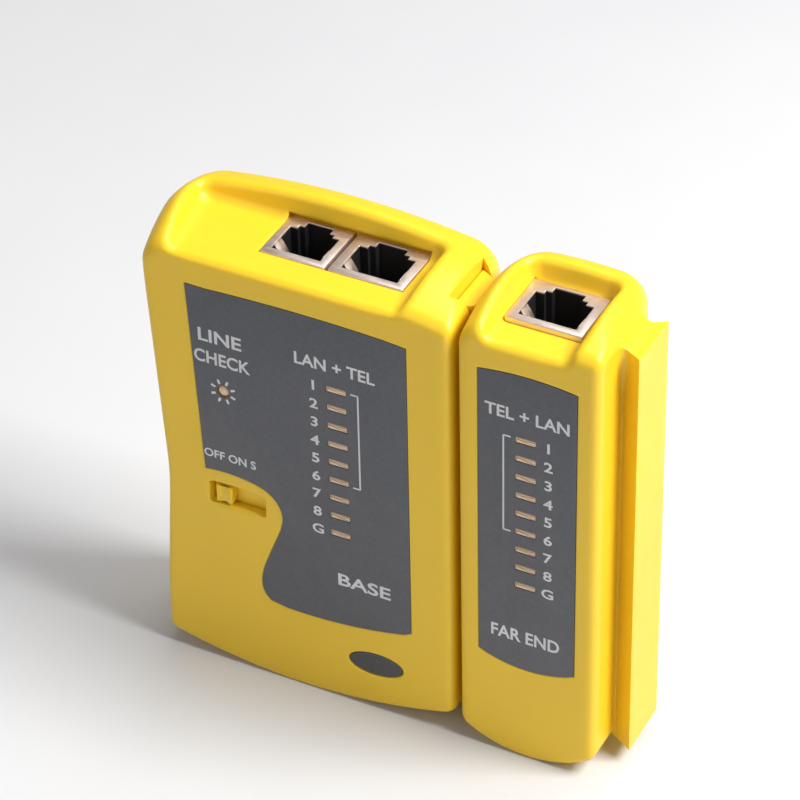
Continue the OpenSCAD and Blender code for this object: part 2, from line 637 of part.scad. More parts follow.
main_front_shell();
main_rear_cover();
cover_screws(main_bosses);  // main_cover_screws
main_label();
main_badge();
main_light_bars();
main_status_leds();
power_led();
main_circuit_board();
main_board_screws();
slide_switch_frame();
switch_lever();
switch_knob();
switch_shutter();
sequencer_chip();
driver_chip();
main_resistors();
main_capacitor();
battery();
battery_terminals();
battery_snap();
battery_lead_red();
battery_lead_black();
battery_foam_pad();
battery_door();
network_jack_shield();
network_jack_housing();
network_jack_contacts();
phone_jack_shield();
phone_jack_housing();
phone_jack_contacts();
remote_front_shell();
remote_rear_cover();
cover_screws(remote_bosses);  // remote_cover_screws
remote_label();
remote_light_bars();
remote_status_leds();
remote_circuit_board();
board_screws(remote_posts);  // remote_board_screws
remote_jack_shield();
remote_jack_housing();
remote_jack_contacts();
remote_diodes();
remote_resistors();
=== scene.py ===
"""A yellow network cable tester: a main unit, and a remote unit docked on its right side."""
import math

import bmesh
import bpy
import numpy as np
from mathutils import Matrix, Vector


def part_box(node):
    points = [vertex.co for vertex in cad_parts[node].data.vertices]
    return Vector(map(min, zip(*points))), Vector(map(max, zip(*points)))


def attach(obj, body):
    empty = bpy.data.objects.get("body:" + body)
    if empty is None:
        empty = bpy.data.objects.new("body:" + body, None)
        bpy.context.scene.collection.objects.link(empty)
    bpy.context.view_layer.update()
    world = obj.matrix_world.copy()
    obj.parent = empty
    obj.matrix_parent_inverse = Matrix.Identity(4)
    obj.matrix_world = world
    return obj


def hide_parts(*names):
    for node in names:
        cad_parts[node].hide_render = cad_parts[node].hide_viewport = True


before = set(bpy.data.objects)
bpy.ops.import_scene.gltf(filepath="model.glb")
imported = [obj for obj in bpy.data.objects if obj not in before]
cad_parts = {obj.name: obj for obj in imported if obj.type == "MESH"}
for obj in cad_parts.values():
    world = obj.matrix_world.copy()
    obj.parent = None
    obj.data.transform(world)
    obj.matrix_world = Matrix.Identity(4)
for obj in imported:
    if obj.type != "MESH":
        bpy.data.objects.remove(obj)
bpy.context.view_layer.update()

MM = 0.001                    # the frame is in metres; sizes of the object below are in millimetres


def box(node):
    """Lowest and highest corner of a CAD node at rest, in millimetres."""
    low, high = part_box(node)
    return np.array(low) / MM, np.array(high) / MM


def middle(node):
    low, high = box(node)
    return (low + high) / 2


# ---- sizes ----

FRONT = box("main_front_shell")[0][1]
PARTING = box("main_front_shell")[1][1]       # where the rear covers meet the front shells
BACK = box("main_rear_cover")[1][1]
HEIGHT = 105.0                # top of the arches, before they are scooped out
DECK_Z = 98.8                 # flat floor of the scooped tops

WALL = 2.0
EDGE_R = 1.9                  # rounding of the front edges
BACK_EDGE_R = 1.6
BASE_EDGE_R = 0.9
CORNER_R = 5.0                # rounding of the upper corners, seen from the front
FRONT_CORNER_R = 1.4          # the same at the front face, on the right
FRONT_DROP = 3.5              # the tops are this much lower at the front than at mid depth,
BACK_DROP = 4.4               # and lower at the back by two thirds of this
FALL_END = 0.94               # how far along a quarter ellipse that fall to the back goes
BACK_IN = 4.6                 # the sides draw in by two thirds of this towards the back
LIP = 0.2                     # small rounding of every other edge of the mouldings
CELL = 0.6                    # grid pitch of the moulded shells

RAIL_OUT, RAIL_FACE, RAIL_NECK = 4.35, 13.2, 8.0
RAIL_LOW, RAIL_HIGH = 3.4, DECK_Z - 0.2
DOCK_GAP = 0.3
CHANNEL_WALL = 1.7

SCOOP_SLOPE = 1.8 / 7         # how much the scoop's walls lean out per millimetre of height
SCOOP_CORNER_R = 2.8
SCOOP_FILLET_R = 1.5
SCOOP_RIM_R = 1.5
DECK_FRONT_R = 1.9

FILM = 0.25                   # thickness of the label film and depth of its recess
INK = 0.025
LAMPS, LAMP_W, LAMP_H = 9, 4.2, 1.25    # light bars of a unit, and the size of a bar's face


class Unit:
    """Outline of one of the two units, and the place of its scooped deck."""

    def __init__(self, x0, x1, arch_r, base_r, deck, deck_back, waist=None, draft=0.0):
        self.x0, self.x1, self.xc = x0, x1, (x0 + x1) / 2
        self.arch_r, self.base_r = arch_r, base_r
        self.deck, self.deck_back = deck, deck_back
        self.waist, self.draft = waist, draft


main_low, main_high = box("main_front_shell")
remote_low, remote_high = box("remote_front_shell")


def waist_curve(depth, hip, heights):
    """Inset of the left side at each height: the hand waist with its bends smoothed out."""
    z = np.linspace(-20, 120, 281)
    top, narrow, low = heights
    sharp = np.interp(z, [low, narrow, top], [hip, depth, 0])
    reach = np.linspace(-8, 8, 33)
    weight = np.cos(reach / 8 * math.pi / 2) ** 2
    return z, np.convolve(np.pad(sharp, 16, mode="edge"), weight / weight.sum(), mode="valid")


MAIN = Unit(main_low[0], main_high[0], 167, 113, (main_low[0] + 7, main_high[0] - 10.75), 5.1,
            waist_curve(2.95, 1.0, (92, 44, 14)), 2.3)
remote_side = (remote_low[0] + RAIL_OUT, remote_high[0] - RAIL_OUT)
REMOTE = Unit(*remote_side, 90, 24, (remote_side[0] + 5.55, remote_side[1] - 6.35), 6.9)

MAIN_BOSSES = [(MAIN.x0 + 8.8, 92), (MAIN.x1 - 9.6, 92), (MAIN.x0 + 9.6, 10.5), (MAIN.x1 - 9.6, 10.5)]
REMOTE_BOSSES = [(REMOTE.x0 + 7.5, 12), (REMOTE.x1 - 7.5, 12), (REMOTE.x0 + 7.5, 74)]
MAIN_POSTS = [(MAIN.x0 + 13.45, 60), (MAIN.x0 + 51.45, 58), (MAIN.x0 + 13.45, 16)]
REMOTE_POSTS = [(REMOTE.x1 - 6.6, 62), (REMOTE.x1 - 6.6, 26)]
BOSS_R, COVER_BOSS_R, POST_R = 2.7, 3.1, 2.2
PILOT_R, PILOT_DEPTH = 1.1, 9

DOOR_GAP = 0.3
DOOR_BEVEL = 1.1
DOOR = box("battery_door")
DOOR_TOP = DOOR[1][2] + DOOR_GAP
BAY = box("battery")

KNOB = box("switch_knob")
KNOB_X, KNOB_Z = middle("switch_knob")[[0, 2]]
KNOB_TRAVEL = 6.8


# ---- fields: a smooth solid as a signed distance, negative inside ----


def both(a, b, r=0.0):
    """Intersection of two fields, with the edge between them rounded to r."""
    if np.ndim(r) == 0 and r <= 0:
        return np.maximum(a, b)
    return np.minimum(np.maximum(a, b), -r) + np.hypot(np.maximum(a + r, 0), np.maximum(b + r, 0))


def either(a, b, r=0.0):
    """Union of two fields, with the corner between them filled to r."""
    return -both(-a, -b, r)


def without(a, b, r=0.0):
    """a with b taken away, and the edge between them rounded to r."""
    return both(a, -b, r)


def span(v, low, high):
    """The slab between two places on one axis."""
    return np.maximum(low - v, v - high)


def cuboid(x, y, z, low, high):
    sides = np.maximum(span(x, low[0], high[0]), span(y, low[1], high[1]))
    return np.maximum(sides, span(z, low[2], high[2]))


def rods(x, y, z, places, low, high, r):
    """Round rods along Y, one at each (x, z) place."""
    plan = np.minimum.reduce([np.hypot(x - at[0], z - at[1]) - r for at in places])
    return np.maximum(plan, span(y, low, high))


def smoothstep(v, low, high):
    t = np.clip((v - low) / (high - low), 0, 1)
    return t * t * (3 - 2 * t)


def fall(y):
    """How far the back half has curved in at y: nothing at mid depth, two thirds at the back."""
    t = np.clip(y / BACK, 0, FALL_END)
    return 1 - np.sqrt(1 - t * t)


def outline(u, x, z, side, top, left, corner=CORNER_R):
    """Front view of a unit with its sides, its top and its left side drawn in; and its base."""
    inset = np.interp(z, *u.waist) if u.waist else 0.0
    sides = np.maximum(u.x0 + inset + left + side - x, x - u.x1 + side)
    arch = np.hypot(x - u.xc, np.maximum(z - HEIGHT + top + u.arch_r, 0)) - u.arch_r
    base = np.hypot(x - u.xc, np.minimum(z - u.base_r, 0)) - u.base_r
    return both(sides, arch, corner), base


def solid(u, x, y, z):
    """The whole unit before anything is cut from it."""
    ahead = np.clip(y / FRONT, 0, 1.1)
    behind = fall(y)
    corner = CORNER_R - (CORNER_R - FRONT_CORNER_R) * smoothstep(ahead, 0.1, 1) * (x > u.xc)
    around, base = outline(u, x, z, BACK_IN * behind, FRONT_DROP * ahead ** 2 + BACK_DROP * behind,
                           u.draft * ahead, corner)
    steep = np.clip(y / BACK, 0, FALL_END)
    around = around / np.sqrt(1 + (BACK_IN / BACK) ** 2 * steep ** 2 / (1 - steep ** 2))
    body = both(both(around, FRONT - y, EDGE_R), y - BACK, BACK_EDGE_R)
    return both(body, base, BASE_EDGE_R)


def scooped(u, x, y, z):
    """The unit with its top scooped out down to the deck, which rolls over into the front."""
    rise = z - DECK_Z
    lean = math.hypot(1, SCOOP_SLOPE)
    left = (u.deck[0] - u.draft * (0.3 + y / BACK) - SCOOP_SLOPE * rise - x) / lean
    right = (x - u.deck[1] - SCOOP_SLOPE * rise) / lean
    behind = (y - u.deck_back - SCOOP_SLOPE * rise) / lean
    plan = both(np.maximum(left, right), behind, SCOOP_CORNER_R)
    rim = SCOOP_RIM_R + (DECK_FRONT_R - SCOOP_RIM_R) * smoothstep(-plan, 0.5, 5)
    return without(solid(u, x, y, z), both(plan, -rise, SCOOP_FILLET_R), rim)


def rail_plan(x, y, x_side, sign, grow=0.0):
    """Dovetail seen from above, standing out of the side at x_side along sign."""
    out = sign * (x - x_side)
    flare = (RAIL_FACE - RAIL_NECK) / 2 / RAIL_OUT
    flank = (np.abs(y) - RAIL_NECK / 2 - flare * out) / math.hypot(1, flare) - grow
    return np.maximum(np.maximum(out - RAIL_OUT - grow, flank), -1.5 - out)


def inner_room(u, x, y, z):
    """The hollow of a front shell."""
    around, base = outline(u, x, z, BACK_IN * fall(PARTING), FRONT_DROP, u.draft)
    flat = np.maximum(np.maximum(around, base) + WALL, z - DECK_Z + WALL)
    return np.maximum(flat, FRONT + WALL - y)


def fitted_front(shell, x, y, z, bosses, posts, board, jacks):
    """Gives a front shell its bored bosses, the posts under its board and the hole round its jacks."""
    shell = np.minimum(shell, rods(x, y, z, bosses, FRONT + 1, PARTING, BOSS_R))
    shell = np.minimum(shell, rods(x, y, z, posts, FRONT + 1, box(board)[0][1], POST_R))
    shell = np.maximum(shell, -rods(x, y, z, bosses, PARTING - PILOT_DEPTH, PARTING + 1, PILOT_R))
    low, high, gap = *jacks, 0.15
    return np.maximum(shell, -cuboid(x, y, z, (low[0] - gap, low[1] - gap, DECK_Z - 4),
                                     (high[0] + gap, high[1] + gap, DECK_Z + 1.5)))


def main_front(x, y, z):
    room = inner_room(MAIN, x, y, z)
    groove_x = REMOTE.x0 - RAIL_OUT - DOCK_GAP
    channel = np.maximum(groove_x - CHANNEL_WALL - x, np.abs(y) - RAIL_FACE / 2 - 2.2)
    shell = np.maximum(np.maximum(scooped(MAIN, x, y, z), y - PARTING), -np.maximum(room, -channel))
    jacks = box("phone_jack_shield")[0], box("network_jack_shield")[1]
    shell = fitted_front(shell, x, y, z, MAIN_BOSSES, MAIN_POSTS, "main_circuit_board", jacks)
    low, high = box("switch_shutter")
    shutter_room = cuboid(x, y, z, low - (0.3, 0.1, 0.3), high + (0.3, 0.15, 0.3))
    shell = np.maximum(shell, -shutter_room)
    dock = rail_plan(x, y, REMOTE.x0, -1, DOCK_GAP)
    mouth = np.maximum(span(x, REMOTE.x0 - 2, REMOTE.x0 + 2), np.abs(y) - RAIL_NECK / 2 - 0.9)
    groove = np.maximum(either(dock, mouth), RAIL_LOW - DOCK_GAP - z)
    shell = without(shell, groove, 0.35)
    return without(shell, switch_dish(x, y, z), 0.4)


def switch_dish(x, y, z):
    """The shallow dish round the switch: a pillow that only just reaches below the front face."""
    half_x, half_z, depth = KNOB_TRAVEL / 2 + 4.1, 4.0, 0.55
    dx = (x - KNOB_X - KNOB_TRAVEL / 2 + 0.5) / half_x
    dz = (z - KNOB_Z + 0.1) / half_z
    radius = (np.abs(dx) ** 3.2 + np.abs(dz) ** 2.6) ** (1 / 2.9)
    return (y - FRONT) - depth * (1 - smoothstep(radius, 0.55, 1.0)) + 0.06 * smoothstep(radius, 0.95, 1.05)


def rear_cover(u, x, y, z, bosses):
    """A hollow rear cover with its screw bosses."""
    deep = fall(BACK - WALL)
    around, base = outline(u, x, z, BACK_IN * deep, BACK_DROP * deep, 0.0)
    room = np.maximum(np.maximum(around, base) + WALL, y - BACK + WALL)
    shell = np.maximum(np.maximum(solid(u, x, y, z), PARTING - y), -room)
    return np.minimum(shell, rods(x, y, z, bosses, PARTING, BACK - WALL + 0.5, COVER_BOSS_R))


def door_plan(x, y, grow):
    """Plan of the battery door: wider inside than outside, so that the cover holds it."""
    slope = DOOR_BEVEL / (WALL - 0.7 + 0.4)
    step = np.maximum(y - (BACK - WALL + 0.7), 0) * slope
    sides = np.maximum(DOOR[0][0] - x + step, x - DOOR[1][0] + step) - grow
    return np.maximum(sides, BACK - WALL + 0.2 - grow - y)


def main_rear(x, y, z):
    shell = rear_cover(MAIN, x, y, z, MAIN_BOSSES)
    frame_block = cuboid(x, y, z, (DOOR[0][0] - 2, PARTING + 0.4, 2.5),
                         (DOOR[1][0] + 2, BACK - WALL + 0.5, DOOR_TOP + 2))
    shell = np.minimum(shell, frame_block)
    shell = np.maximum(shell, -np.maximum(door_plan(x, y, DOOR_GAP), z - DOOR_TOP))
    bay = np.maximum(span(x, BAY[0][0] - 0.5, BAY[1][0] + 0.5), span(z, BAY[0][2] - 0.6, DOOR_TOP - 2.5))
    return np.maximum(shell, -bay)


def battery_cover(x, y, z):
    door = np.maximum(solid(MAIN, x, y, z), np.maximum(door_plan(x, y, 0), z - DOOR_TOP + DOOR_GAP))
    return without(door, thumb_dish(x, y, z), 0.3)


def thumb_dish(x, y, z):
    """A shallow scallop under the grip ribs of the battery door."""
    centre = (DOOR[0] + DOOR[1]) / 2
    r = 42.0
    return np.sqrt((x - centre[0]) ** 2 + (y - BACK - r + 0.85) ** 2 + (z - DOOR_TOP + 12) ** 2) - r


def remote_front(x, y, z):
    shell = scooped(REMOTE, x, y, z)
    for x_side, sign in ((REMOTE.x1, 1), (REMOTE.x0, -1)):
        rail = np.maximum(rail_plan(x, y, x_side, sign), span(z, RAIL_LOW, RAIL_HIGH))
        shell = either(shell, rail, 0.5 if sign < 0 else 0.7 + 1.8 * smoothstep(z, 88, RAIL_HIGH))
    shell = np.maximum(np.maximum(shell, y - PARTING), -inner_room(REMOTE, x, y, z))
    return fitted_front(shell, x, y, z, REMOTE_BOSSES, REMOTE_POSTS, "remote_circuit_board",
                        box("remote_jack_shield"))


def remote_rear(x, y, z):
    return rear_cover(REMOTE, x, y, z, REMOTE_BOSSES)


# ---- from a field to a mesh ----


def gradient(field, p, step=0.01):
    g = np.empty_like(p)
    for axis in range(3):
        ahead, behind = p.copy(), p.copy()
        ahead[:, axis] += step
        behind[:, axis] -= step
        g[:, axis] = (field(*ahead.T) - field(*behind.T)) / (2 * step)
    return g


def crossings(field, p0, p1, v0):
    """Where the field changes sign between pairs of points, by bisection."""
    low, high = np.zeros(len(p0)), np.ones(len(p0))
    for _ in range(9):
        mid = (low + high) / 2
        same = (field(*(p0 + (p1 - p0) * mid[:, None]).T) < 0) == (v0 < 0)
        low, high = np.where(same, mid, low), np.where(same, high, mid)
    return p0 + (p1 - p0) * ((low + high) / 2)[:, None]


def contour(field, low, high, shift):
    """Dual contouring: vertices and quads of the field's surface, with its sharp edges kept."""
    origin = np.array(low, float) - shift * CELL
    count = np.ceil((np.array(high) - origin) / CELL).astype(int) + 2
    axes = [origin[i] + CELL * np.arange(count[i]) for i in range(3)]
    grid = np.meshgrid(*axes, indexing="ij", sparse=True)
    value = np.broadcast_to(field(*grid), count)
    units = np.eye(3, dtype=int)
    owners, points, normals, quads = [], [], [], []
    for axis in range(3):
        step, u, v = units[axis], units[(axis + 1) % 3], units[(axis + 2) % 3]
        a = value[tuple(slice(0, n - s) for n, s in zip(count, step))]
        b = value[tuple(slice(s, n) for n, s in zip(count, step))]
        at = np.argwhere((a < 0) != (b < 0))
        start = a[tuple(at.T)]
        p = crossings(field, origin + CELL * at, origin + CELL * (at + step), start)
        n = gradient(field, p)
        n /= np.maximum(np.linalg.norm(n, axis=1), 1e-9)[:, None]
        ring = [np.ravel_multi_index((at - s).T, count) for s in (0 * u, u, u + v, v)]
        ring = np.stack(ring, axis=1)
        quads.append(np.where((start < 0)[:, None], ring, ring[:, ::-1]))
        for k in range(4):
            owners.append(ring[:, k])
            points.append(p)
            normals.append(n)
    owners, points, normals = np.concatenate(owners), np.concatenate(points), np.concatenate(normals)
    cells, index = np.unique(owners, return_inverse=True)
    total = np.bincount(index)
    mean = np.stack([np.bincount(index, points[:, i]) for i in range(3)], axis=1) / total[:, None]
    along = np.einsum("ij,ij->i", normals, points - mean[index])
    right = np.stack([np.bincount(index, normals[:, i] * along) for i in range(3)], axis=1)
    matrix = np.empty((len(cells), 3, 3))
    for i in range(3):
        for j in range(3):
            matrix[:, i, j] = np.bincount(index, normals[:, i] * normals[:, j])
    matrix += np.eye(3) * (0.02 * total)[:, None, None]
    vertex = mean + np.linalg.solve(matrix, right[:, :, None])[:, :, 0]
    corner = origin + CELL * np.stack(np.unravel_index(cells, count), axis=1)
    vertex = np.clip(vertex, corner, corner + CELL)
    for _ in range(2):
        g = gradient(field, vertex)
        away = field(*vertex.T) / np.maximum(np.einsum("ij,ij->i", g, g), 1e-6)
        vertex -= np.clip(away, -0.1, 0.1)[:, None] * g
    return vertex, np.searchsorted(cells, np.concatenate(quads)).tolist()


def add_object(name, data):
    obj = bpy.data.objects.new(name, data)
    bpy.context.scene.collection.objects.link(obj)
    return obj


def mesh_object(name, vertices, faces):
    """A mesh object from millimetre vertices."""
    mesh = bpy.data.meshes.new(name)
    mesh.from_pydata((np.asarray(vertices, float) * MM).tolist(), [], faces)
    mesh.validate()
    return add_object(name, mesh)


def edit(obj, change):
    """Runs change(bm) on an object's mesh."""
    bm = bmesh.new()
    bm.from_mesh(obj.data)
    change(bm)
    bm.to_mesh(obj.data)
    bm.free()
    return obj


def closed_mesh(name, vertices, faces):
    """A mesh object whose faces all look outwards."""
    obj = mesh_object(name, vertices, faces)
    return edit(obj, lambda bm: bmesh.ops.recalc_face_normals(bm, faces=bm.faces))


def soften_edges(bm):
    """Rounds the sharp outer edges of a moulding."""
    sharper_than = math.radians(50)
    sharp = [e for e in bm.edges
             if e.is_manifold and e.is_convex and e.calc_face_angle(0) > sharper_than]
    bmesh.ops.bevel(bm, geom=sharp, offset=LIP * MM, offset_type="OFFSET", segments=2,
                    profile=0.5, affect="EDGES", clamp_overlap=True)


def is_closed(obj):
    bm = bmesh.new()
    bm.from_mesh(obj.data)
    closed = all(e.is_manifold for e in bm.edges)
    bm.free()
    return closed


def moulded(name, field, low, high):
    """A moulded shell made from its field, on the first grid place that gives a closed mesh."""
    obj = None
    for shift in (1.45, 1.28, 1.37, 1.21, 1.53):
        if obj:
            bpy.data.objects.remove(obj)
        obj = mesh_object(name, *contour(field, low, high, shift))
        if is_closed(obj):
            break
    return edit(obj, soften_edges)


def boolean(obj, tools, operation="DIFFERENCE"):
    """Applies each tool object to obj, then removes the tools."""
    for tool in tools:
        modifier = obj.modifiers.new("cut", "BOOLEAN")
        modifier.operation, modifier.object, modifier.solver = operation, tool, "MANIFOLD"
    graph = bpy.context.evaluated_depsgraph_get()
    made = bpy.data.meshes.new_from_object(obj.evaluated_get(graph))
    obj.modifiers.clear()
    obj.data = made
    for tool in tools:
        bpy.data.objects.remove(tool)
    return obj


# ---- outlines and lofts ----


def arc(centre, r, start, end, count=12):
    """Points on an arc, angles in degrees."""
    angles = np.radians(np.linspace(start, end, count + 1))
    return np.array(centre) + r * np.stack([np.cos(angles), np.sin(angles)], axis=1)


def rounded_rectangle(centre, width, height, r, count=4):
    corners = ((1, 1, 0), (-1, 1, 90), (-1, -1, 180), (1, -1, 270))
    return np.concatenate([
        arc((centre[0] + sx * (width / 2 - r), centre[1] + sy * (height / 2 - r)), r, a, a + 90, count)
        for sx, sy, a in corners])


def ellipse(centre, half_w, half_h, tilt=0.0, count=48):
    angles = np.linspace(0, 2 * math.pi, count, endpoint=False)
    p = np.stack([half_w * np.cos(angles), half_h * np.sin(angles)], axis=1)
    c, s = math.cos(math.radians(tilt)), math.sin(math.radians(tilt))
    return np.array(centre) + p @ np.array([[c, s], [-s, c]])


def grown(points, distance):
    """A closed outline moved outwards by distance, with mitred corners."""
    p = np.asarray(points, float)
    area = np.sum(p[:, 0] * np.roll(p[:, 1], -1) - p[:, 1] * np.roll(p[:, 0], -1))
    before, after = p - np.roll(p, 1, axis=0), np.roll(p, -1, axis=0) - p
    before /= np.linalg.norm(before, axis=1)[:, None]
    after /= np.linalg.norm(after, axis=1)[:, None]
    normal = np.stack([before[:, 1] + after[:, 1], -before[:, 0] - after[:, 0]], axis=1)
    normal /= np.linalg.norm(normal, axis=1)[:, None]
    spread = np.clip(normal[:, 0] * after[:, 1] - normal[:, 1] * after[:, 0], 0.35, 1)
    return p + normal * (math.copysign(1, area) * distance / spread)[:, None]


AXES = {"x": (1, 2, 0), "y": (0, 2, 1), "z": (0, 1, 2)}


def loft(name, outline_points, levels, axis="y"):
    """A closed solid through copies of an outline, one per (place along the axis, growth) level."""
    rings = []
    u, v, w = AXES[axis]
    for place, growth in levels:
        flat = grown(outline_points, growth)
        ring = np.empty((len(flat), 3))
        ring[:, u], ring[:, v], ring[:, w] = flat[:, 0], flat[:, 1], place
        rings.append(ring)
    n = len(rings[0])
    faces = [list(range(n)), list(range(len(rings) * n - 1, (len(rings) - 1) * n - 1, -1))]
    for k in range(len(rings) - 1):
        for i in range(n):
            j = (i + 1) % n
            faces.append([k * n + j, k * n + i, (k + 1) * n + i, (k + 1) * n + j])
    return closed_mesh(name, np.concatenate(rings), faces)


def two_rims(low, high, rim):
    """Levels for a loft with the same rim at both ends: (distance from the end, growth) pairs."""
    return ([(low + inset, growth) for inset, growth in rim]
            + [(high - inset, growth) for inset, growth in rim[::-1]])


def lathe(name, profile, centre, axis="y", count=32):
    """A closed turned solid: profile holds (radius, place along the axis), from pole to pole."""
    u, v, w = AXES[axis]
    vertices, faces, rings = [], [], []
    for r, place in profile:
        size = 1 if r < 1e-6 else count
        rings.append(range(len(vertices), len(vertices) + size))
        for a in np.linspace(0, 2 * math.pi, size, endpoint=False):
            p = np.zeros(3)
            p[u], p[v], p[w] = centre[0] + r * math.cos(a), centre[1] + r * math.sin(a), place
            vertices.append(p)
    for a, b in zip(rings, rings[1:]):
        for i in range(count):
            j = (i + 1) % count
            quad = list(dict.fromkeys([a[i % len(a)], a[j % len(a)], b[j % len(b)], b[i % len(b)]]))
            if len(quad) > 2:
                faces.append(quad)
    return closed_mesh(name, vertices, faces)


def block(name, low, high, r=0.2, segments=3):
    """A box with every edge rounded to r."""
    def change(bm):
        bmesh.ops.create_cube(bm, size=1.0)
        size, centre = (np.array(high) - low) * MM, (np.array(high) + low) / 2 * MM
        for v in bm.verts:
            v.co = Vector([centre[i] + v.co[i] * size[i] for i in range(3)])
        bmesh.ops.bevel(bm, geom=bm.edges[:], offset=r * MM, offset_type="OFFSET",
                        segments=segments, profile=0.5, affect="EDGES")
    return edit(add_object(name, bpy.data.meshes.new(name)), change)


def joined(name, parts):
    """One object from several closed ones."""
    bm = bmesh.new()
    for part in parts:
        bm.from_mesh(part.data)
    mesh = bpy.data.meshes.new(name)
    bm.to_mesh(mesh)
    bm.free()
    for part in parts:
        bpy.data.objects.remove(part)
    return add_object(name, mesh)


# ---- materials ----


class Shader:
    """A node material built from the outside in: colour, roughness and bump over object space."""

    def __init__(self, name, **constants):
        self.material = bpy.data.materials.new(name)
        self.material.use_nodes = True
        self.nodes, self.links = self.material.node_tree.nodes, self.material.node_tree.links
        self.nodes.clear()
        output = self.nodes.new("ShaderNodeOutputMaterial")
        self.shader = self.nodes.new("ShaderNodeBsdfPrincipled")
        self.links.new(self.shader.outputs["BSDF"], output.inputs["Surface"])
        for socket, value in constants.items():
            self.shader.inputs[socket.replace("_", " ")].default_value = value
        self.place = self.nodes.new("ShaderNodeTexCoord").outputs["Object"]
        self.normal = None

    def node(self, kind, inputs=(), **settings):
        n = self.nodes.new("ShaderNode" + kind)
        for key, value in settings.items():
            setattr(n, key, value)
        for socket, value in dict(inputs).items():
            if isinstance(value, bpy.types.NodeSocket):
                self.links.new(value, n.inputs[socket])
            else:
                n.inputs[socket].default_value = value
        return n

    def noise(self, per_mm, detail=3.0, stretch=(1, 1, 1)):
        """Noise with so many features per millimetre; stretch makes it finer along an axis."""
        at = self.node("Mapping", {"Vector": self.place, "Scale": stretch}).outputs[0]
        return self.node("TexNoise", {"Vector": at, "Scale": per_mm / MM,
                                      "Detail": detail}).outputs["Fac"]

    def cells(self, per_mm):
        return self.node("TexVoronoi", {"Vector": self.place, "Scale": per_mm / MM}).outputs["Distance"]

    def ramp(self, fac, low, high, start=0.3, end=0.7):
        """Colour that goes from low to high as fac goes from start to end."""
        n = self.node("ValToRGB", {"Fac": fac})
        n.color_ramp.elements[0].position, n.color_ramp.elements[0].color = start, (*low, 1)
        n.color_ramp.elements[1].position, n.color_ramp.elements[1].color = end, (*high, 1)
        return n.outputs["Color"]

    def blend(self, fac, a, b):
        return self.node("Mix", {0: fac, 6: (*a, 1), 7: (*b, 1)}, data_type="RGBA").outputs[2]

    def range(self, fac, low, high, start=0.3, end=0.7):
        return self.node("MapRange", {"Value": fac, "From Min": start, "From Max": end,
                                      "To Min": low, "To Max": high}).outputs["Result"]

    def colour(self, socket):
        self.links.new(socket, self.shader.inputs["Base Color"])

    def roughness(self, fac, low, high):
        self.links.new(self.range(fac, low, high), self.shader.inputs["Roughness"])

    def bump(self, height, depth):
        """Adds relief of a given depth in millimetres."""
        inputs = {"Height": height, "Distance": depth * MM, "Strength": 1.0}
        if self.normal:
            inputs["Normal"] = self.normal
        self.normal = self.node("Bump", inputs).outputs["Normal"]
        self.links.new(self.normal, self.shader.inputs["Normal"])


def tint(rgb, factor):
    return tuple(min(1.0, c * factor) for c in rgb)


def plastic(name, rgb, rough=0.4, grain=0.006, per_mm=3.0, variation=0.05, **constants):
    """Moulded plastic: faint mottling, a fine spark-eroded grain and slight changes of gloss."""
    s = Shader(name, **constants)
    s.colour(s.ramp(s.noise(0.06), tint(rgb, 1 - variation), tint(rgb, 1 + variation)))
    s.roughness(s.noise(0.35, detail=4), rough - 0.05, rough + 0.06)
    s.bump(s.noise(per_mm, detail=2), grain)
    s.bump(s.noise(0.05, detail=1), 0.02)
    return s.material


def metal(name, rgb, rough=0.3, stretch=(1, 1, 12), variation=0.12, per_mm=0.7):
    """Rolled or plated metal: fine lines along one way, and cloudy changes of gloss."""
    s = Shader(name, Metallic=1.0)
    s.colour(s.ramp(s.noise(0.3, detail=4), tint(rgb, 1 - variation), tint(rgb, 1 + variation / 2)))
    s.roughness(s.noise(per_mm, detail=4, stretch=stretch), rough - 0.08, rough + 0.1)
    s.bump(s.noise(per_mm * 2, detail=2, stretch=stretch), 0.004)
    return s.material


YELLOW = (0.86, 0.56, 0.018)


def yellow_shell():
    s = Shader("yellow_abs", IOR=1.53, Subsurface_Weight=0.12, Subsurface_Scale=0.0012,
               Specular_IOR_Level=0.45)
    s.shader.inputs["Subsurface Radius"].default_value = (1.0, 0.6, 0.1)
    s.colour(s.ramp(s.noise(0.035), tint(YELLOW, 0.97), tint(YELLOW, 1.03)))
    s.roughness(s.noise(0.3, detail=5), 0.33, 0.45)
    s.bump(s.noise(2.4, detail=2), 0.004)
    s.bump(s.noise(0.04, detail=1), 0.03)
    return s.material


def label_film():
    rgb = (0.072, 0.075, 0.086)
    s = Shader("label_film", IOR=1.5, Coat_Weight=0.25, Coat_Roughness=0.3)
    s.colour(s.ramp(s.noise(1.6, detail=5), tint(rgb, 0.88), tint(rgb, 1.12)))
    s.roughness(s.noise(0.2, detail=4), 0.38, 0.5)
    s.bump(s.noise(5.0, detail=2), 0.003)
    return s.material


def circuit_board():
    """Solder mask with a pattern of tracks that shows through it."""
    s = Shader("solder_mask", IOR=1.5)
    at = s.node("Mapping", {"Vector": s.place, "Rotation": (math.pi / 2, 0, 0)}).outputs[0]
    tracks = s.node("TexBrick", {"Vector": at, "Scale": 1 / (5.2 * MM), "Mortar Size": 0.05,
                                 "Color1": (0, 0, 0, 1), "Color2": (0, 0, 0, 1), "Mortar": (1, 1, 1, 1)})
    s.colour(s.blend(tracks.outputs["Color"], (0.012, 0.12, 0.045), (0.03, 0.2, 0.08)))
    s.roughness(s.noise(0.3), 0.25, 0.4)
    s.bump(tracks.outputs["Fac"], 0.03)
    return s.material


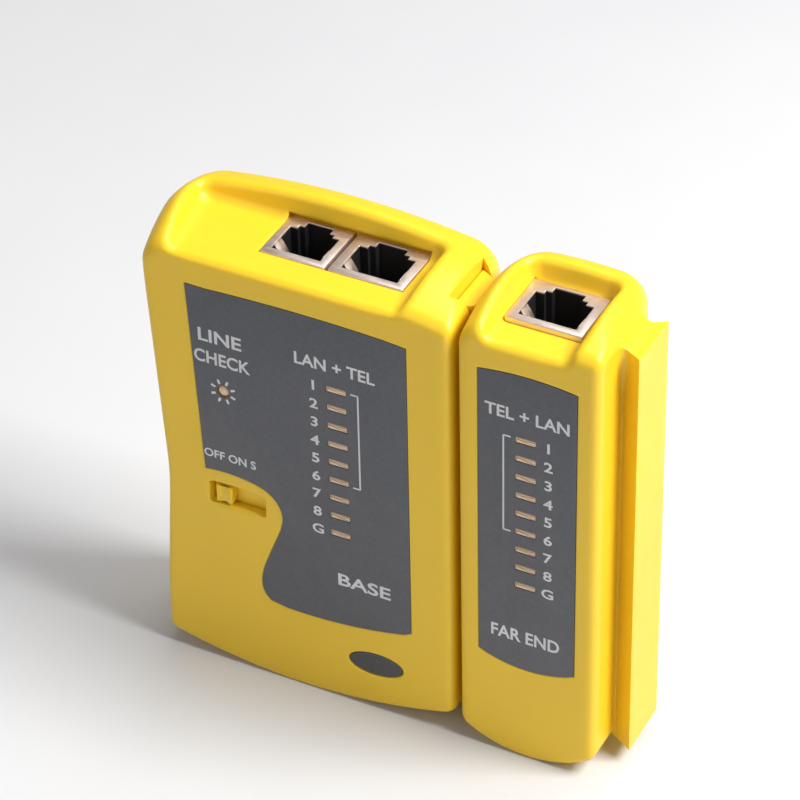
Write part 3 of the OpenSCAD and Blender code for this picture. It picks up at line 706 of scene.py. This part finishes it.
def banded(name, body, bands):
    """Paint or glass of the small round parts, with fine bands of a second colour."""
    s = Shader(name, IOR=1.5)
    wave = s.node("TexWave", {"Vector": s.place, "Scale": 0.42 / MM},
                  bands_direction="Z").outputs["Fac"]
    s.colour(s.ramp(wave, body, bands, 0.8, 0.86))
    s.roughness(s.noise(0.8), 0.35, 0.5)
    s.bump(s.noise(1.5), 0.02)
    return s.material


def foam():
    s = Shader("foam")
    s.colour(s.ramp(s.cells(1.1), (0.02, 0.02, 0.022), (0.06, 0.06, 0.065), 0.1, 0.6))
    s.roughness(s.noise(1.0), 0.85, 1.0)
    s.bump(s.cells(1.1), 0.25)
    return s.material


def battery_jacket():
    """Printed metal jacket: dark below, a copper-coloured band above."""
    s = Shader("battery_jacket", Metallic=0.7)
    height = s.node("SeparateXYZ", {"Vector": s.place}).outputs["Z"]
    top = BAY[1][2]
    band = s.range(height, 0.0, 1.0, (top - 12.2) * MM, (top - 12.0) * MM)
    s.colour(s.blend(band, (0.03, 0.032, 0.04), (0.55, 0.26, 0.10)))
    s.roughness(s.noise(0.5, detail=4), 0.28, 0.42)
    s.bump(s.noise(0.12), 0.05)
    return s.material


MATERIALS = {
    "yellow": yellow_shell(),
    "film": label_film(),
    "ink": plastic("white_ink", (0.66, 0.66, 0.68), 0.5, 0.003, 6.0, 0.06),
    "badge": plastic("badge_enamel", (0.035, 0.033, 0.036), 0.3, 0.006, 2.0, 0.3, Coat_Weight=0.4),
    "lens": plastic("lamp_lens", (0.82, 0.58, 0.37), 0.32, 0.004, 2.0, 0.08, IOR=1.5,
                    Subsurface_Weight=0.2, Subsurface_Scale=0.0006),
    "led": plastic("led_body", (0.75, 0.72, 0.62), 0.35, 0.004, 3.0, 0.06),
    "board": circuit_board(),
    "screw": metal("zinc_screw", (0.62, 0.60, 0.58), 0.32, (1, 1, 1)),
    "switch_steel": metal("switch_steel", (0.66, 0.65, 0.63), 0.35, (1, 1, 8)),
    "black": plastic("black_nylon", (0.012, 0.012, 0.013), 0.42, 0.006, 3.0, 0.3),
    "chip": plastic("chip_epoxy", (0.018, 0.018, 0.02), 0.6, 0.012, 4.0, 0.3),
    "resistor": banded("resistor_paint", (0.55, 0.38, 0.22), (0.25, 0.05, 0.02)),
    "diode": banded("diode_glass", (0.45, 0.10, 0.05), (0.02, 0.02, 0.02)),
    "capacitor": plastic("capacitor_sleeve", (0.015, 0.02, 0.07), 0.35, 0.01, 1.0, 0.2),
    "battery": battery_jacket(),
    "terminal": metal("nickel_terminal", (0.72, 0.70, 0.66), 0.25, (1, 1, 1)),
    "vinyl": plastic("black_vinyl", (0.015, 0.015, 0.016), 0.5, 0.02, 1.2, 0.3),
    "red_lead": plastic("red_lead", (0.55, 0.02, 0.015), 0.4, 0.01, 1.5, 0.12),
    "black_lead": plastic("black_lead", (0.014, 0.014, 0.015), 0.4, 0.01, 1.5, 0.3),
    "foam": foam(),
    "shield": metal("tinned_shield", (0.80, 0.68, 0.61), 0.42, (1, 6, 1), 0.05, 0.5),
    "gold": metal("gold_contact", (0.85, 0.58, 0.22), 0.22, (1, 1, 10)),
}


def finish_piece(obj, body, material, node=None, sharper_than=48):
    """Shades a piece, gives it its material and ties it to its body and CAD node."""
    obj.data.shade_smooth()
    obj.data.set_sharp_from_angle(angle=math.radians(sharper_than))
    obj.data.materials.clear()
    obj.data.materials.append(MATERIALS[material])
    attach(obj, body)
    if node:
        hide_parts(node)


# ---- labels and lamps ----


def lamp_places(node):
    """Centres (x, z) of the light bars of a node, top to bottom."""
    low, high = box(node)
    flange = 0.4
    z0, z1 = low[2] + flange + LAMP_H / 2, high[2] - flange - LAMP_H / 2
    return [(middle(node)[0], z) for z in np.linspace(z1, z0, LAMPS)]


def window_cutters(node, grow):
    """Tools that cut the light bars' windows, each with a fine chamfer at the front."""
    levels = [(FRONT - 1, grow + 0.1), (FRONT, grow + 0.1), (FRONT + 0.1, grow), (FRONT + 4, grow)]
    return [loft("window", rounded_rectangle(p, LAMP_W, LAMP_H, 0.25), levels)
            for p in lamp_places(node)]


def main_label_outline():
    """The main label: straight right side, slightly arched ends and a bay round the switch."""
    low, high = box("main_label")
    x0, x1 = low[0], high[0]
    top_r, base_r = 340, 94
    xc = (x0 + x1) / 2
    top = arc((xc, 92.9 - top_r), top_r, 86, 94, 10)
    top = top[(top[:, 0] > x0 + 0.3) & (top[:, 0] < x1 - 0.3)]
    bottom = arc((MAIN.x0 + 34.45, 19 + base_r), base_r, 268, 284, 12)
    bottom = bottom[(bottom[:, 0] < x1 - 0.3)]
    bay = np.array([(-24.9, 19.7), (-26.2, 21.3), (-26.75, 23.8), (-26.3, 27.0), (-24.9, 31.2),
                    (-23.2, 35.6), (-22.0, 38.8), (-21.5, 41.8), (-22.1, 44.4), (-23.7, 46.5),
                    (-26.0, 47.85), (-28.9, 48.55), (-32.5, 48.95), (-36.0, 48.9), (-38.3, 48.6)])
    bay[:, 0] += MAIN.x0 + 52.4
    left, right = [(x0, 92.45)], [(x1, 91.95), (x1, 22.6)]
    return np.concatenate([smooth_line(bay, 4), left, top[::-1], right, bottom[::-1]])[::-1]


def smooth_line(points, per_span):
    """An open Catmull-Rom curve through points."""
    p = np.vstack([2 * points[0] - points[1], points, 2 * points[-1] - points[-2]])
    made = []
    for a, b, c, d in zip(p, p[1:], p[2:], p[3:]):
        for t in np.linspace(0, 1, per_span, endpoint=False):
            made.append(0.5 * (2 * b + (c - a) * t + (2 * a - 5 * b + 4 * c - d) * t ** 2
                               + (3 * b - a - 3 * c + d) * t ** 3))
    return np.array(made + [points[-1]])


def remote_label_outline():
    low, high = box("remote_label")
    xc, half = (low[0] + high[0]) / 2, (high[0] - low[0]) / 2
    top_r, base_r = 61, REMOTE.base_r
    top_angle = math.degrees(math.asin(half / top_r))
    base_angle = math.degrees(math.asin(half / base_r))
    top = arc((xc, high[2] - top_r), top_r, 90 - top_angle, 90 + top_angle, 14)
    bottom = arc((xc, low[2] + base_r), base_r, 270 - base_angle, 270 + base_angle, 14)
    return np.concatenate([top, bottom])


def film(name, points, node):
    """A label film with a fine rounded edge and a window for every light bar."""
    levels = [(FRONT + FILM, -0.04), (FRONT + 0.08, -0.04), (FRONT + 0.02, -0.07), (FRONT, -0.14)]
    return boolean(loft(name, points, levels), window_cutters(node, 0.05))


def recess(points):
    """Tool for a label's recess, with a fine chamfer round its mouth."""
    levels = [(FRONT - 1, 0.16), (FRONT, 0.16), (FRONT + 0.13, 0.03), (FRONT + FILM, 0.03)]
    return loft("recess", points, levels)


def text_mesh(text, centre, width, height):
    """Flat closed lettering on the front face, fitted to a height and a width, or a little widened."""
    curve = bpy.data.curves.new("text", "FONT")
    curve.body, curve.extrude, curve.offset, curve.resolution_u = text, 0.01, 0.02, 4
    obj = add_object("text", curve)
    graph = bpy.context.evaluated_depsgraph_get()
    mesh = bpy.data.meshes.new_from_object(obj.evaluated_get(graph))
    bpy.data.objects.remove(obj)
    made = add_object("text", mesh)
    co = np.array([v.co for v in mesh.vertices])
    low, high = co.min(0), co.max(0)
    scale_z = height / (high[1] - low[1])
    scale_x = width / (high[0] - low[0]) if width else scale_z * 1.2
    x = centre[0] + (co[:, 0] - (low[0] + high[0]) / 2) * scale_x
    z = centre[1] + (co[:, 1] - (low[1] + high[1]) / 2) * scale_z
    y = FRONT - np.where(co[:, 2] > 0, INK, -INK)
    for v, p in zip(mesh.vertices, np.stack([x, y, z], axis=1) * MM):
        v.co = p

    def change(bm):
        bmesh.ops.remove_doubles(bm, verts=bm.verts, dist=1e-7)
        bmesh.ops.recalc_face_normals(bm, faces=bm.faces)
    return edit(made, change)


def stroke(a, b, width=0.34):
    """A printed straight line from a to b."""
    a, b = np.array(a, float), np.array(b, float)
    along = (b - a) / np.linalg.norm(b - a)
    across = np.array([-along[1], along[0]]) * width / 2
    points = np.array([a - across, b - across, b + across, a + across])
    return loft("stroke", points, [(FRONT - INK, 0), (FRONT + INK, 0)])


def legend(lamp_node, number_side, bracket_x, tick):
    """Numbers beside the lamps, and the bracket over the pairs that a phone cable uses."""
    places = lamp_places(lamp_node)
    marks = [str(i + 1) for i in range(LAMPS - 1)] + ["G"]
    parts = [text_mesh(mark, (x + number_side, z), None, 2.3) for mark, (x, z) in zip(marks, places)]
    top, low = places[0][1] + LAMP_H / 4, places[5][1] - LAMP_H / 4
    parts.append(stroke((bracket_x, low), (bracket_x, top)))
    parts += [stroke((bracket_x, z), (bracket_x + tick, z)) for z in (top, low)]
    return parts


def rays(centre, inner, outer):
    """Eight short strokes round a lamp."""
    angles = np.radians(np.arange(8) * 45 + 22.5)
    ways = [np.array((math.cos(a), math.sin(a))) for a in angles]
    return [stroke(centre + inner * way, centre + outer * way, 0.5) for way in ways]


def lenses(name, node):
    """Light bars: a slightly crowned face on each, and a flange behind the wall."""
    inner = FRONT + WALL
    levels = [(box(node)[1][1], 0), (inner + 0.8, 0), (inner + 0.8, 0.45), (inner + 0.05, 0.45),
              (inner + 0.05, 0), (FRONT + 0.25, 0), (FRONT + 0.12, -0.05), (FRONT + 0.05, -0.18),
              (FRONT + 0.02, -0.4)]
    faces = [rounded_rectangle(p, LAMP_W, LAMP_H, 0.22) for p in lamp_places(node)]
    return joined(name, [loft("lens", face, levels) for face in faces])


# ---- jacks ----


def plug_outline(x, slot_width):
    """Stepped opening for a plug and its latch, seen from above."""
    half = slot_width / 2
    right = np.array([(half, -4.8), (half, 2.9), (slot_width * 0.36, 2.9), (slot_width * 0.36, 3.9),
                      (slot_width * 0.26, 3.9), (slot_width * 0.26, 5.4)])
    left = right[::-1] * (-1, 1)
    return np.concatenate([right, left]) + (x, 0)


def jack_shield(name, node, slot_width):
    """Tinned steel can with a stepped mouth, rolled edges and two spring fingers."""
    low, high = box(node)
    sheet = 0.35
    x = (low[0] + high[0]) / 2
    can = block(name, low, high, 0.28)
    inside = block("inside", low + (sheet, sheet, -2), high - (sheet, sheet, sheet), 0.15)
    mouth = loft("mouth", plug_outline(x, slot_width), [
        (high[2] - 2, 0), (high[2] - 0.1, 0), (high[2], 0.1), (high[2] + 1, 0.1)], axis="z")
    can = boolean(can, [inside, mouth])
    fingers = [spring_finger(x + side * (slot_width / 2), side, high[2]) for side in (-1, 1)]
    return joined(name, [can, *fingers])


def spring_finger(x, side, top):
    """A strip folded in from the side of the mouth, which touches the plug's shield."""
    path = [(0.06, -0.1), (-0.1, -0.4), (-0.85, -1.5), (-1.5, -2.7), (-1.6, -3.4), (-1.2, -4.4),
            (-0.5, -5.4)]
    path = smooth_line(np.array(path), 4)
    tangent = np.gradient(path, axis=0)
    tangent /= np.linalg.norm(tangent, axis=1)[:, None]
    across = np.stack([-tangent[:, 1], tangent[:, 0]], axis=1) * 0.11
    closed = np.concatenate([path - across, (path + across)[::-1]])
    closed[:, 0] = x + side * closed[:, 0]
    closed[:, 1] += top
    return loft("finger", closed, [(-3.6, -0.03), (-3.5, 0), (-1.1, 0), (-1.0, -0.03)])


# ---- screws, knob, badge, battery ----


def cross_head_screws(name, node, places):
    """Pan head screws with a cross recess, in their counterbores."""
    end, head = (corner[1] for corner in box(node))
    profile = [(0, head - 0.02), (1.2, head - 0.05), (1.9, head - 0.28), (2.2, head - 0.62),
               (2.3, head - 0.95), (2.3, head - 1.3), (1.05, head - 1.3), (1.05, end + 0.6),
               (0.5, end), (0, end)]
    made = []
    for at in places:
        screw = lathe("screw", profile, at, count=40)
        recess_tools = []
        for turn in (0, 90):
            tool = loft("recess", rounded_rectangle((0, 0), 2.3, 0.5, 0.15, 3),
                        [(head - 0.95, -0.12), (head + 1, 0.04)])
            tool.data.transform(Matrix.Translation((at[0] * MM, 0, at[1] * MM))
                                @ Matrix.Rotation(math.radians(turn + 20 * len(made)), 4, "Y"))
            recess_tools.append(tool)
        made.append(boolean(screw, recess_tools))
    return joined(name, made)


def knob():
    """Slide switch knob: a thumb hollow between two raised ends."""
    low, high = KNOB
    half = (high[0] - low[0]) / 2
    across = np.linspace(-half, half, 29)
    t = np.abs(across) / half
    hollow = 0.34 * np.cos(np.clip(t / 0.8, 0, 1) * math.pi / 2) ** 1.5
    rolled = 0.22 * np.clip((t - 0.88) / 0.12, 0, 1) ** 2
    face = np.stack([KNOB_X + across, low[1] + hollow + rolled], axis=1)
    profile = np.concatenate([face, [(KNOB_X + half, high[1]), (KNOB_X - half, high[1])]])
    levels = two_rims(low[2], high[2], [(0, -0.28), (0.1, -0.1), (0.3, 0)])
    cap = loft("knob_cap", profile, levels, axis="z")
    lever = box("switch_lever")
    hole = block("hole", lever[0] - 0.01, (lever[1][0] + 0.01, high[1] + 1, lever[1][2] + 0.01), 0.02, 1)
    return boolean(cap, [hole])


def badge_outline():
    return ellipse(middle("main_badge")[[0, 2]], 6.0, 2.75, 3.7)


def badge():
    levels = [(FRONT + 0.8, -0.02), (FRONT + 0.42, -0.02), (FRONT + 0.3, -0.12), (FRONT + 0.26, -0.3),
              (FRONT + 0.34, -0.48), (FRONT + 0.36, -0.7), (FRONT + 0.33, -1.1)]
    return loft("badge_plate", badge_outline(), levels)


def grip_ribs():
    """Ribs in the battery door's scallop, no higher than its back face."""
    centre = (DOOR[0] + DOOR[1]) / 2
    ribs = []
    for i in range(6):
        z = DOOR_TOP - 17 + 2.0 * i
        bow = 1 - ((z - DOOR_TOP + 12) / 9.2) ** 2
        half = 3.5 + 4.2 * math.sqrt(max(bow, 0.05))
        ribs.append(loft("rib", rounded_rectangle((centre[0], z), 2 * half, 0.9, 0.42, 5),
                         [(BACK - 1.3, 0), (BACK - 0.18, 0), (BACK - 0.06, -0.08), (BACK, -0.24)]))
    return ribs


def footprint(node, r, count):
    """A node's box seen from above, with its corners rounded to r."""
    low, high = box(node)
    return rounded_rectangle(middle(node)[:2], high[0] - low[0], high[1] - low[1], r, count)


def battery_cell():
    """Nine volt block battery: a jacket crimped over both end plates."""
    rim = [(0.7, -1.7), (0.5, -1.3), (0.05, -0.9), (0, -0.55), (0.15, -0.2), (0.6, 0)]
    return loft("battery_block", footprint("battery", 2.2, 6),
                two_rims(BAY[0][2], BAY[1][2], rim), axis="z")


def snap_studs():
    """The battery's two snap terminals: a stud and a wider socket."""
    low, high = box("battery_terminals")
    y = (low[1] + high[1]) / 2
    z0, z1 = low[2], high[2]
    stud = [(0, z0 - 0.8), (2.6, z0 - 0.8), (2.6, z0 + 0.4), (2.3, z0 + 1.0), (2.45, z1 - 0.9),
            (2.85, z1 - 0.5), (2.8, z1 - 0.15), (2.4, z1), (0, z1)]
    socket = [(0, z0 - 0.8), (3.8, z0 - 0.8), (3.85, z0 + 0.5), (3.6, z1 - 0.5), (3.85, z1 - 0.2),
              (3.75, z1), (3.0, z1), (2.8, z1 - 0.6), (2.8, z1 - 2.2), (0, z1 - 2.2)]
    return joined("battery_studs", [lathe("stud", stud, (low[0] + 2.9, y), "z"),
                                    lathe("socket", socket, (high[0] - 3.9, y), "z", 24)])


def snap_cap():
    """Moulded vinyl cap that snaps on the terminals."""
    low, high = box("battery_snap")
    z0, z1 = low[2], high[2]
    levels = [(z0, -0.4), (z0 + 0.3, -0.1), (z0 + 0.8, 0), (z1 - 1.0, 0), (z1 - 0.4, -0.2),
              (z1 - 0.1, -0.6), (z1, -1.4)]
    return loft("battery_cap", footprint("battery_snap", 4.5, 8), levels, axis="z")


# ---- build: the moulded cases ----

LED = middle("power_led")[[0, 2]]
LED_R = 1.3

led_edge = arc(LED, LED_R, 0, 345, 23)
led_cutter = loft("led_hole", led_edge,
                  [(FRONT - 1, 0.2), (FRONT, 0.2), (FRONT + 0.1, 0.1), (FRONT + 4, 0.1)])
badge_cutter = loft("badge_hole", badge_outline(),
                    [(FRONT - 1, 0.35), (FRONT, 0.35), (FRONT + 0.25, 0.1), (FRONT + 0.82, 0.06)])
ROOM_LEFT, ROOM_RIGHT = 1.25, 0.45      # how far the pocket reaches past the knob's travel
pocket_x = (KNOB[0][0] - ROOM_LEFT + KNOB[1][0] + KNOB_TRAVEL + ROOM_RIGHT) / 2
pocket_w = KNOB[1][0] + KNOB_TRAVEL + ROOM_RIGHT - KNOB[0][0] + ROOM_LEFT
pocket_h = KNOB[1][2] - KNOB[0][2] + 0.7
pocket_cutter = loft("pocket", rounded_rectangle((pocket_x, KNOB_Z), pocket_w, pocket_h, 0.5),
                     [(FRONT - 1, 0.3), (FRONT + 0.4, 0.3), (FRONT + 0.7, 0.02), (FRONT + 4, 0.0)])


def case(name, field, body, node, tools, operation="DIFFERENCE"):
    """A finished yellow moulding in place of a CAD node."""
    shell = boolean(moulded(name, field, *box(node)), tools, operation)
    finish_piece(shell, body, "yellow", node)


def counterbores(places):
    """Tools for the screw holes of a rear cover, each with a chamfered mouth."""
    profile = [(0, PARTING - 2), (1.45, PARTING - 2), (1.45, BACK - 1.9), (2.5, BACK - 1.9),
               (2.5, BACK - 0.25), (2.8, BACK + 0.05), (2.8, BACK + 1), (0, BACK + 1)]
    return [lathe("counterbore", profile, at, count=40) for at in places]


case("main_case_front", main_front, "main_unit", "main_front_shell",
     [recess(main_label_outline()), *window_cutters("main_light_bars", 0.1), led_cutter, badge_cutter,
      pocket_cutter])
case("main_case_rear", main_rear, "main_unit", "main_rear_cover", counterbores(MAIN_BOSSES))
case("battery_cover", battery_cover, "door", "battery_door", grip_ribs(), "UNION")
case("remote_case_front", remote_front, "remote_unit", "remote_front_shell",
     [recess(remote_label_outline()), *window_cutters("remote_light_bars", 0.1)])
case("remote_case_rear", remote_rear, "remote_unit", "remote_rear_cover", counterbores(REMOTE_BOSSES))

# ---- build: labels, lamps, switch, badge ----

led_hole = loft("led_hole", led_edge, [(FRONT - 1, 0.05), (FRONT + 1, 0.05)])
main_film = boolean(film("main_film", main_label_outline(), "main_light_bars"), [led_hole])
finish_piece(main_film, "main_unit", "film", "main_label", 40)
remote_film = film("remote_film", remote_label_outline(), "remote_light_bars")
finish_piece(remote_film, "remote_unit", "film", "remote_label", 40)

main_marks = legend("main_light_bars", -4.85, middle("main_light_bars")[0] + 4.65, -1.5)
main_marks += [
    text_mesh("LINE", (MAIN.x0 + 18.95, 81.5), 9.4, 3.0),
    text_mesh("CHECK", (MAIN.x0 + 19.25, 76.4), 12.2, 3.0),
    text_mesh("LAN + TEL", (MAIN.x0 + 43.55, 82.6), 17.0, 2.75),
    text_mesh("OFF ON S", (MAIN.x0 + 19.85, 53.0), 11.4, 2.0),
    text_mesh("BASE", (MAIN.x0 + 48.65, 31.0), 11.5, 3.0),
]
main_marks += rays(LED, 1.8, 2.8)
finish_piece(joined("main_legend", main_marks), "main_unit", "ink", None, 30)

remote_marks = legend("remote_light_bars", 4.7, middle("remote_light_bars")[0] - 4.5, 1.5)
remote_marks += [
    text_mesh("TEL + LAN", (REMOTE.xc, 84.2), 17.2, 2.75),
    text_mesh("FAR END", (REMOTE.xc - 0.2, 31.0), 14.4, 3.0),
]
finish_piece(joined("remote_legend", remote_marks), "remote_unit", "ink", None, 30)

for unit in ("main", "remote"):
    bars = f"{unit}_light_bars"
    finish_piece(lenses(f"{unit}_lenses", bars), f"{unit}_unit", "lens", bars)
led_end, led_flange = box("power_led")[1][1], FRONT + WALL
led_profile = [(0, FRONT + 0.02), (0.55, FRONT + 0.06), (0.95, FRONT + 0.2), (1.2, FRONT + 0.45),
               (LED_R, FRONT + 0.8), (LED_R, led_flange), (1.6, led_flange),
               (1.6, led_flange + 0.9), (LED_R, led_flange + 0.9), (LED_R, led_end), (0, led_end)]
finish_piece(lathe("power_lens", led_profile, LED, count=36), "main_unit", "lens", "power_led")
finish_piece(knob(), "switch", "yellow", "switch_knob", 40)
finish_piece(badge(), "main_unit", "badge", "main_badge", 40)

# ---- build: jacks, screws, battery ----

for jack, unit, slot_width in (("network", "main", 11.8), ("phone", "main", 10.4),
                               ("remote", "remote", 11.8)):
    node = f"{jack}_jack_shield"
    shield = jack_shield(f"{jack}_shield", node, slot_width)
    finish_piece(shield, f"{unit}_unit", "shield", node, 35)
for unit, places in (("main", MAIN_BOSSES), ("remote", REMOTE_BOSSES)):
    node = f"{unit}_cover_screws"
    screws = cross_head_screws(f"{unit}_back_screws", node, places)
    finish_piece(screws, f"{unit}_unit", "screw", node, 35)
finish_piece(battery_cell(), "main_unit", "battery", "battery", 40)
finish_piece(snap_studs(), "main_unit", "terminal", "battery_terminals", 40)
finish_piece(snap_cap(), "main_unit", "vinyl", "battery_snap", 40)
foam_pad = block("foam_pad", *box("battery_foam_pad"), 0.4, 4)
finish_piece(foam_pad, "main_unit", "foam", "battery_foam_pad")

# ---- CAD nodes that stay, with their materials ----

KEPT = {
    "led": ("main_status_leds", "remote_status_leds"),
    "board": ("main_circuit_board", "remote_circuit_board"),
    "screw": ("main_board_screws", "remote_board_screws"),
    "switch_steel": ("slide_switch_frame",),
    "yellow": ("switch_shutter",),
    "black": ("switch_lever", "network_jack_housing", "phone_jack_housing", "remote_jack_housing"),
    "chip": ("sequencer_chip", "driver_chip"),
    "resistor": ("main_resistors", "remote_resistors"),
    "diode": ("remote_diodes",),
    "capacitor": ("main_capacitor",),
    "red_lead": ("battery_lead_red",),
    "black_lead": ("battery_lead_black",),
    "gold": ("network_jack_contacts", "phone_jack_contacts", "remote_jack_contacts"),
}
for material, nodes in KEPT.items():
    for node in nodes:
        for material_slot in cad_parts[node].material_slots:
            material_slot.material = MATERIALS[material]

# ---- floor, lights, camera ----


def floor():
    s = Shader("studio_floor")
    s.colour(s.ramp(s.noise(0.004, detail=2), (0.66, 0.66, 0.67), (0.70, 0.70, 0.70)))
    s.roughness(s.noise(0.05, detail=4), 0.5, 0.62)
    s.bump(s.noise(0.6, detail=3), 0.02)
    half = 2500
    corners = [(-half, -half, 0), (half, -half, 0), (half, half, 0), (-half, half, 0)]
    obj = mesh_object("floor", corners, [(0, 1, 2, 3)])
    obj.data.materials.append(s.material)


def direction(azimuth, elevation):
    """The way from the object to a place at these angles, in degrees, from its front."""
    a, e = math.radians(azimuth), math.radians(elevation)
    return Vector((math.sin(a) * math.cos(e), -math.cos(a) * math.cos(e), math.sin(e)))


def area_light(name, azimuth, elevation, distance, size, power):
    """A square soft light, size metres wide, that looks at the middle of the object."""
    lamp = bpy.data.lights.new(name, "AREA")
    lamp.shape, lamp.size, lamp.energy = "SQUARE", size, power
    obj = add_object(name, lamp)
    back = direction(azimuth, elevation)
    obj.location = Vector((0, 0, HEIGHT / 2 * MM)) + back * distance
    obj.rotation_mode = "QUATERNION"
    obj.rotation_quaternion = (-back).to_track_quat("-Z", "Y")


def lights():
    area_light("key", 95, 50, 0.8, 0.35, 9.2)
    area_light("top", 170, 70, 0.9, 0.5, 3.0)
    area_light("fill", -25, 30, 1.2, 0.8, 1.75)
    world = bpy.data.worlds.new("studio")
    world.use_nodes = True
    world.node_tree.nodes["Background"].inputs["Color"].default_value = (0.95, 0.95, 1.0, 1)
    world.node_tree.nodes["Background"].inputs["Strength"].default_value = 0.25
    bpy.context.scene.world = world
    bpy.context.scene.view_settings.view_transform = "Standard"


def camera():
    """The camera at the photograph's angle: front, from the right and above."""
    azimuth, elevation, roll = 27.72, 37.46, math.radians(-1.21)
    target, distance = Vector((-4.58, 6.5, 62.0)) * MM, 737.5 * MM
    back = direction(azimuth, elevation)
    level = Vector((math.cos(math.radians(azimuth)), math.sin(math.radians(azimuth)), 0))
    rise = back.cross(level)
    right = level * math.cos(roll) + rise * math.sin(roll)
    up = rise * math.cos(roll) - level * math.sin(roll)
    data = bpy.data.cameras.new("camera")
    data.lens, data.sensor_width = 171.3, 36
    data.clip_start, data.clip_end = 0.01, 20
    cam = add_object("camera", data)
    turn = Matrix((right, up, back)).transposed().to_4x4()
    cam.matrix_world = Matrix.Translation(target + back * distance) @ turn
    bpy.context.scene.camera = cam


floor()
lights()
camera()
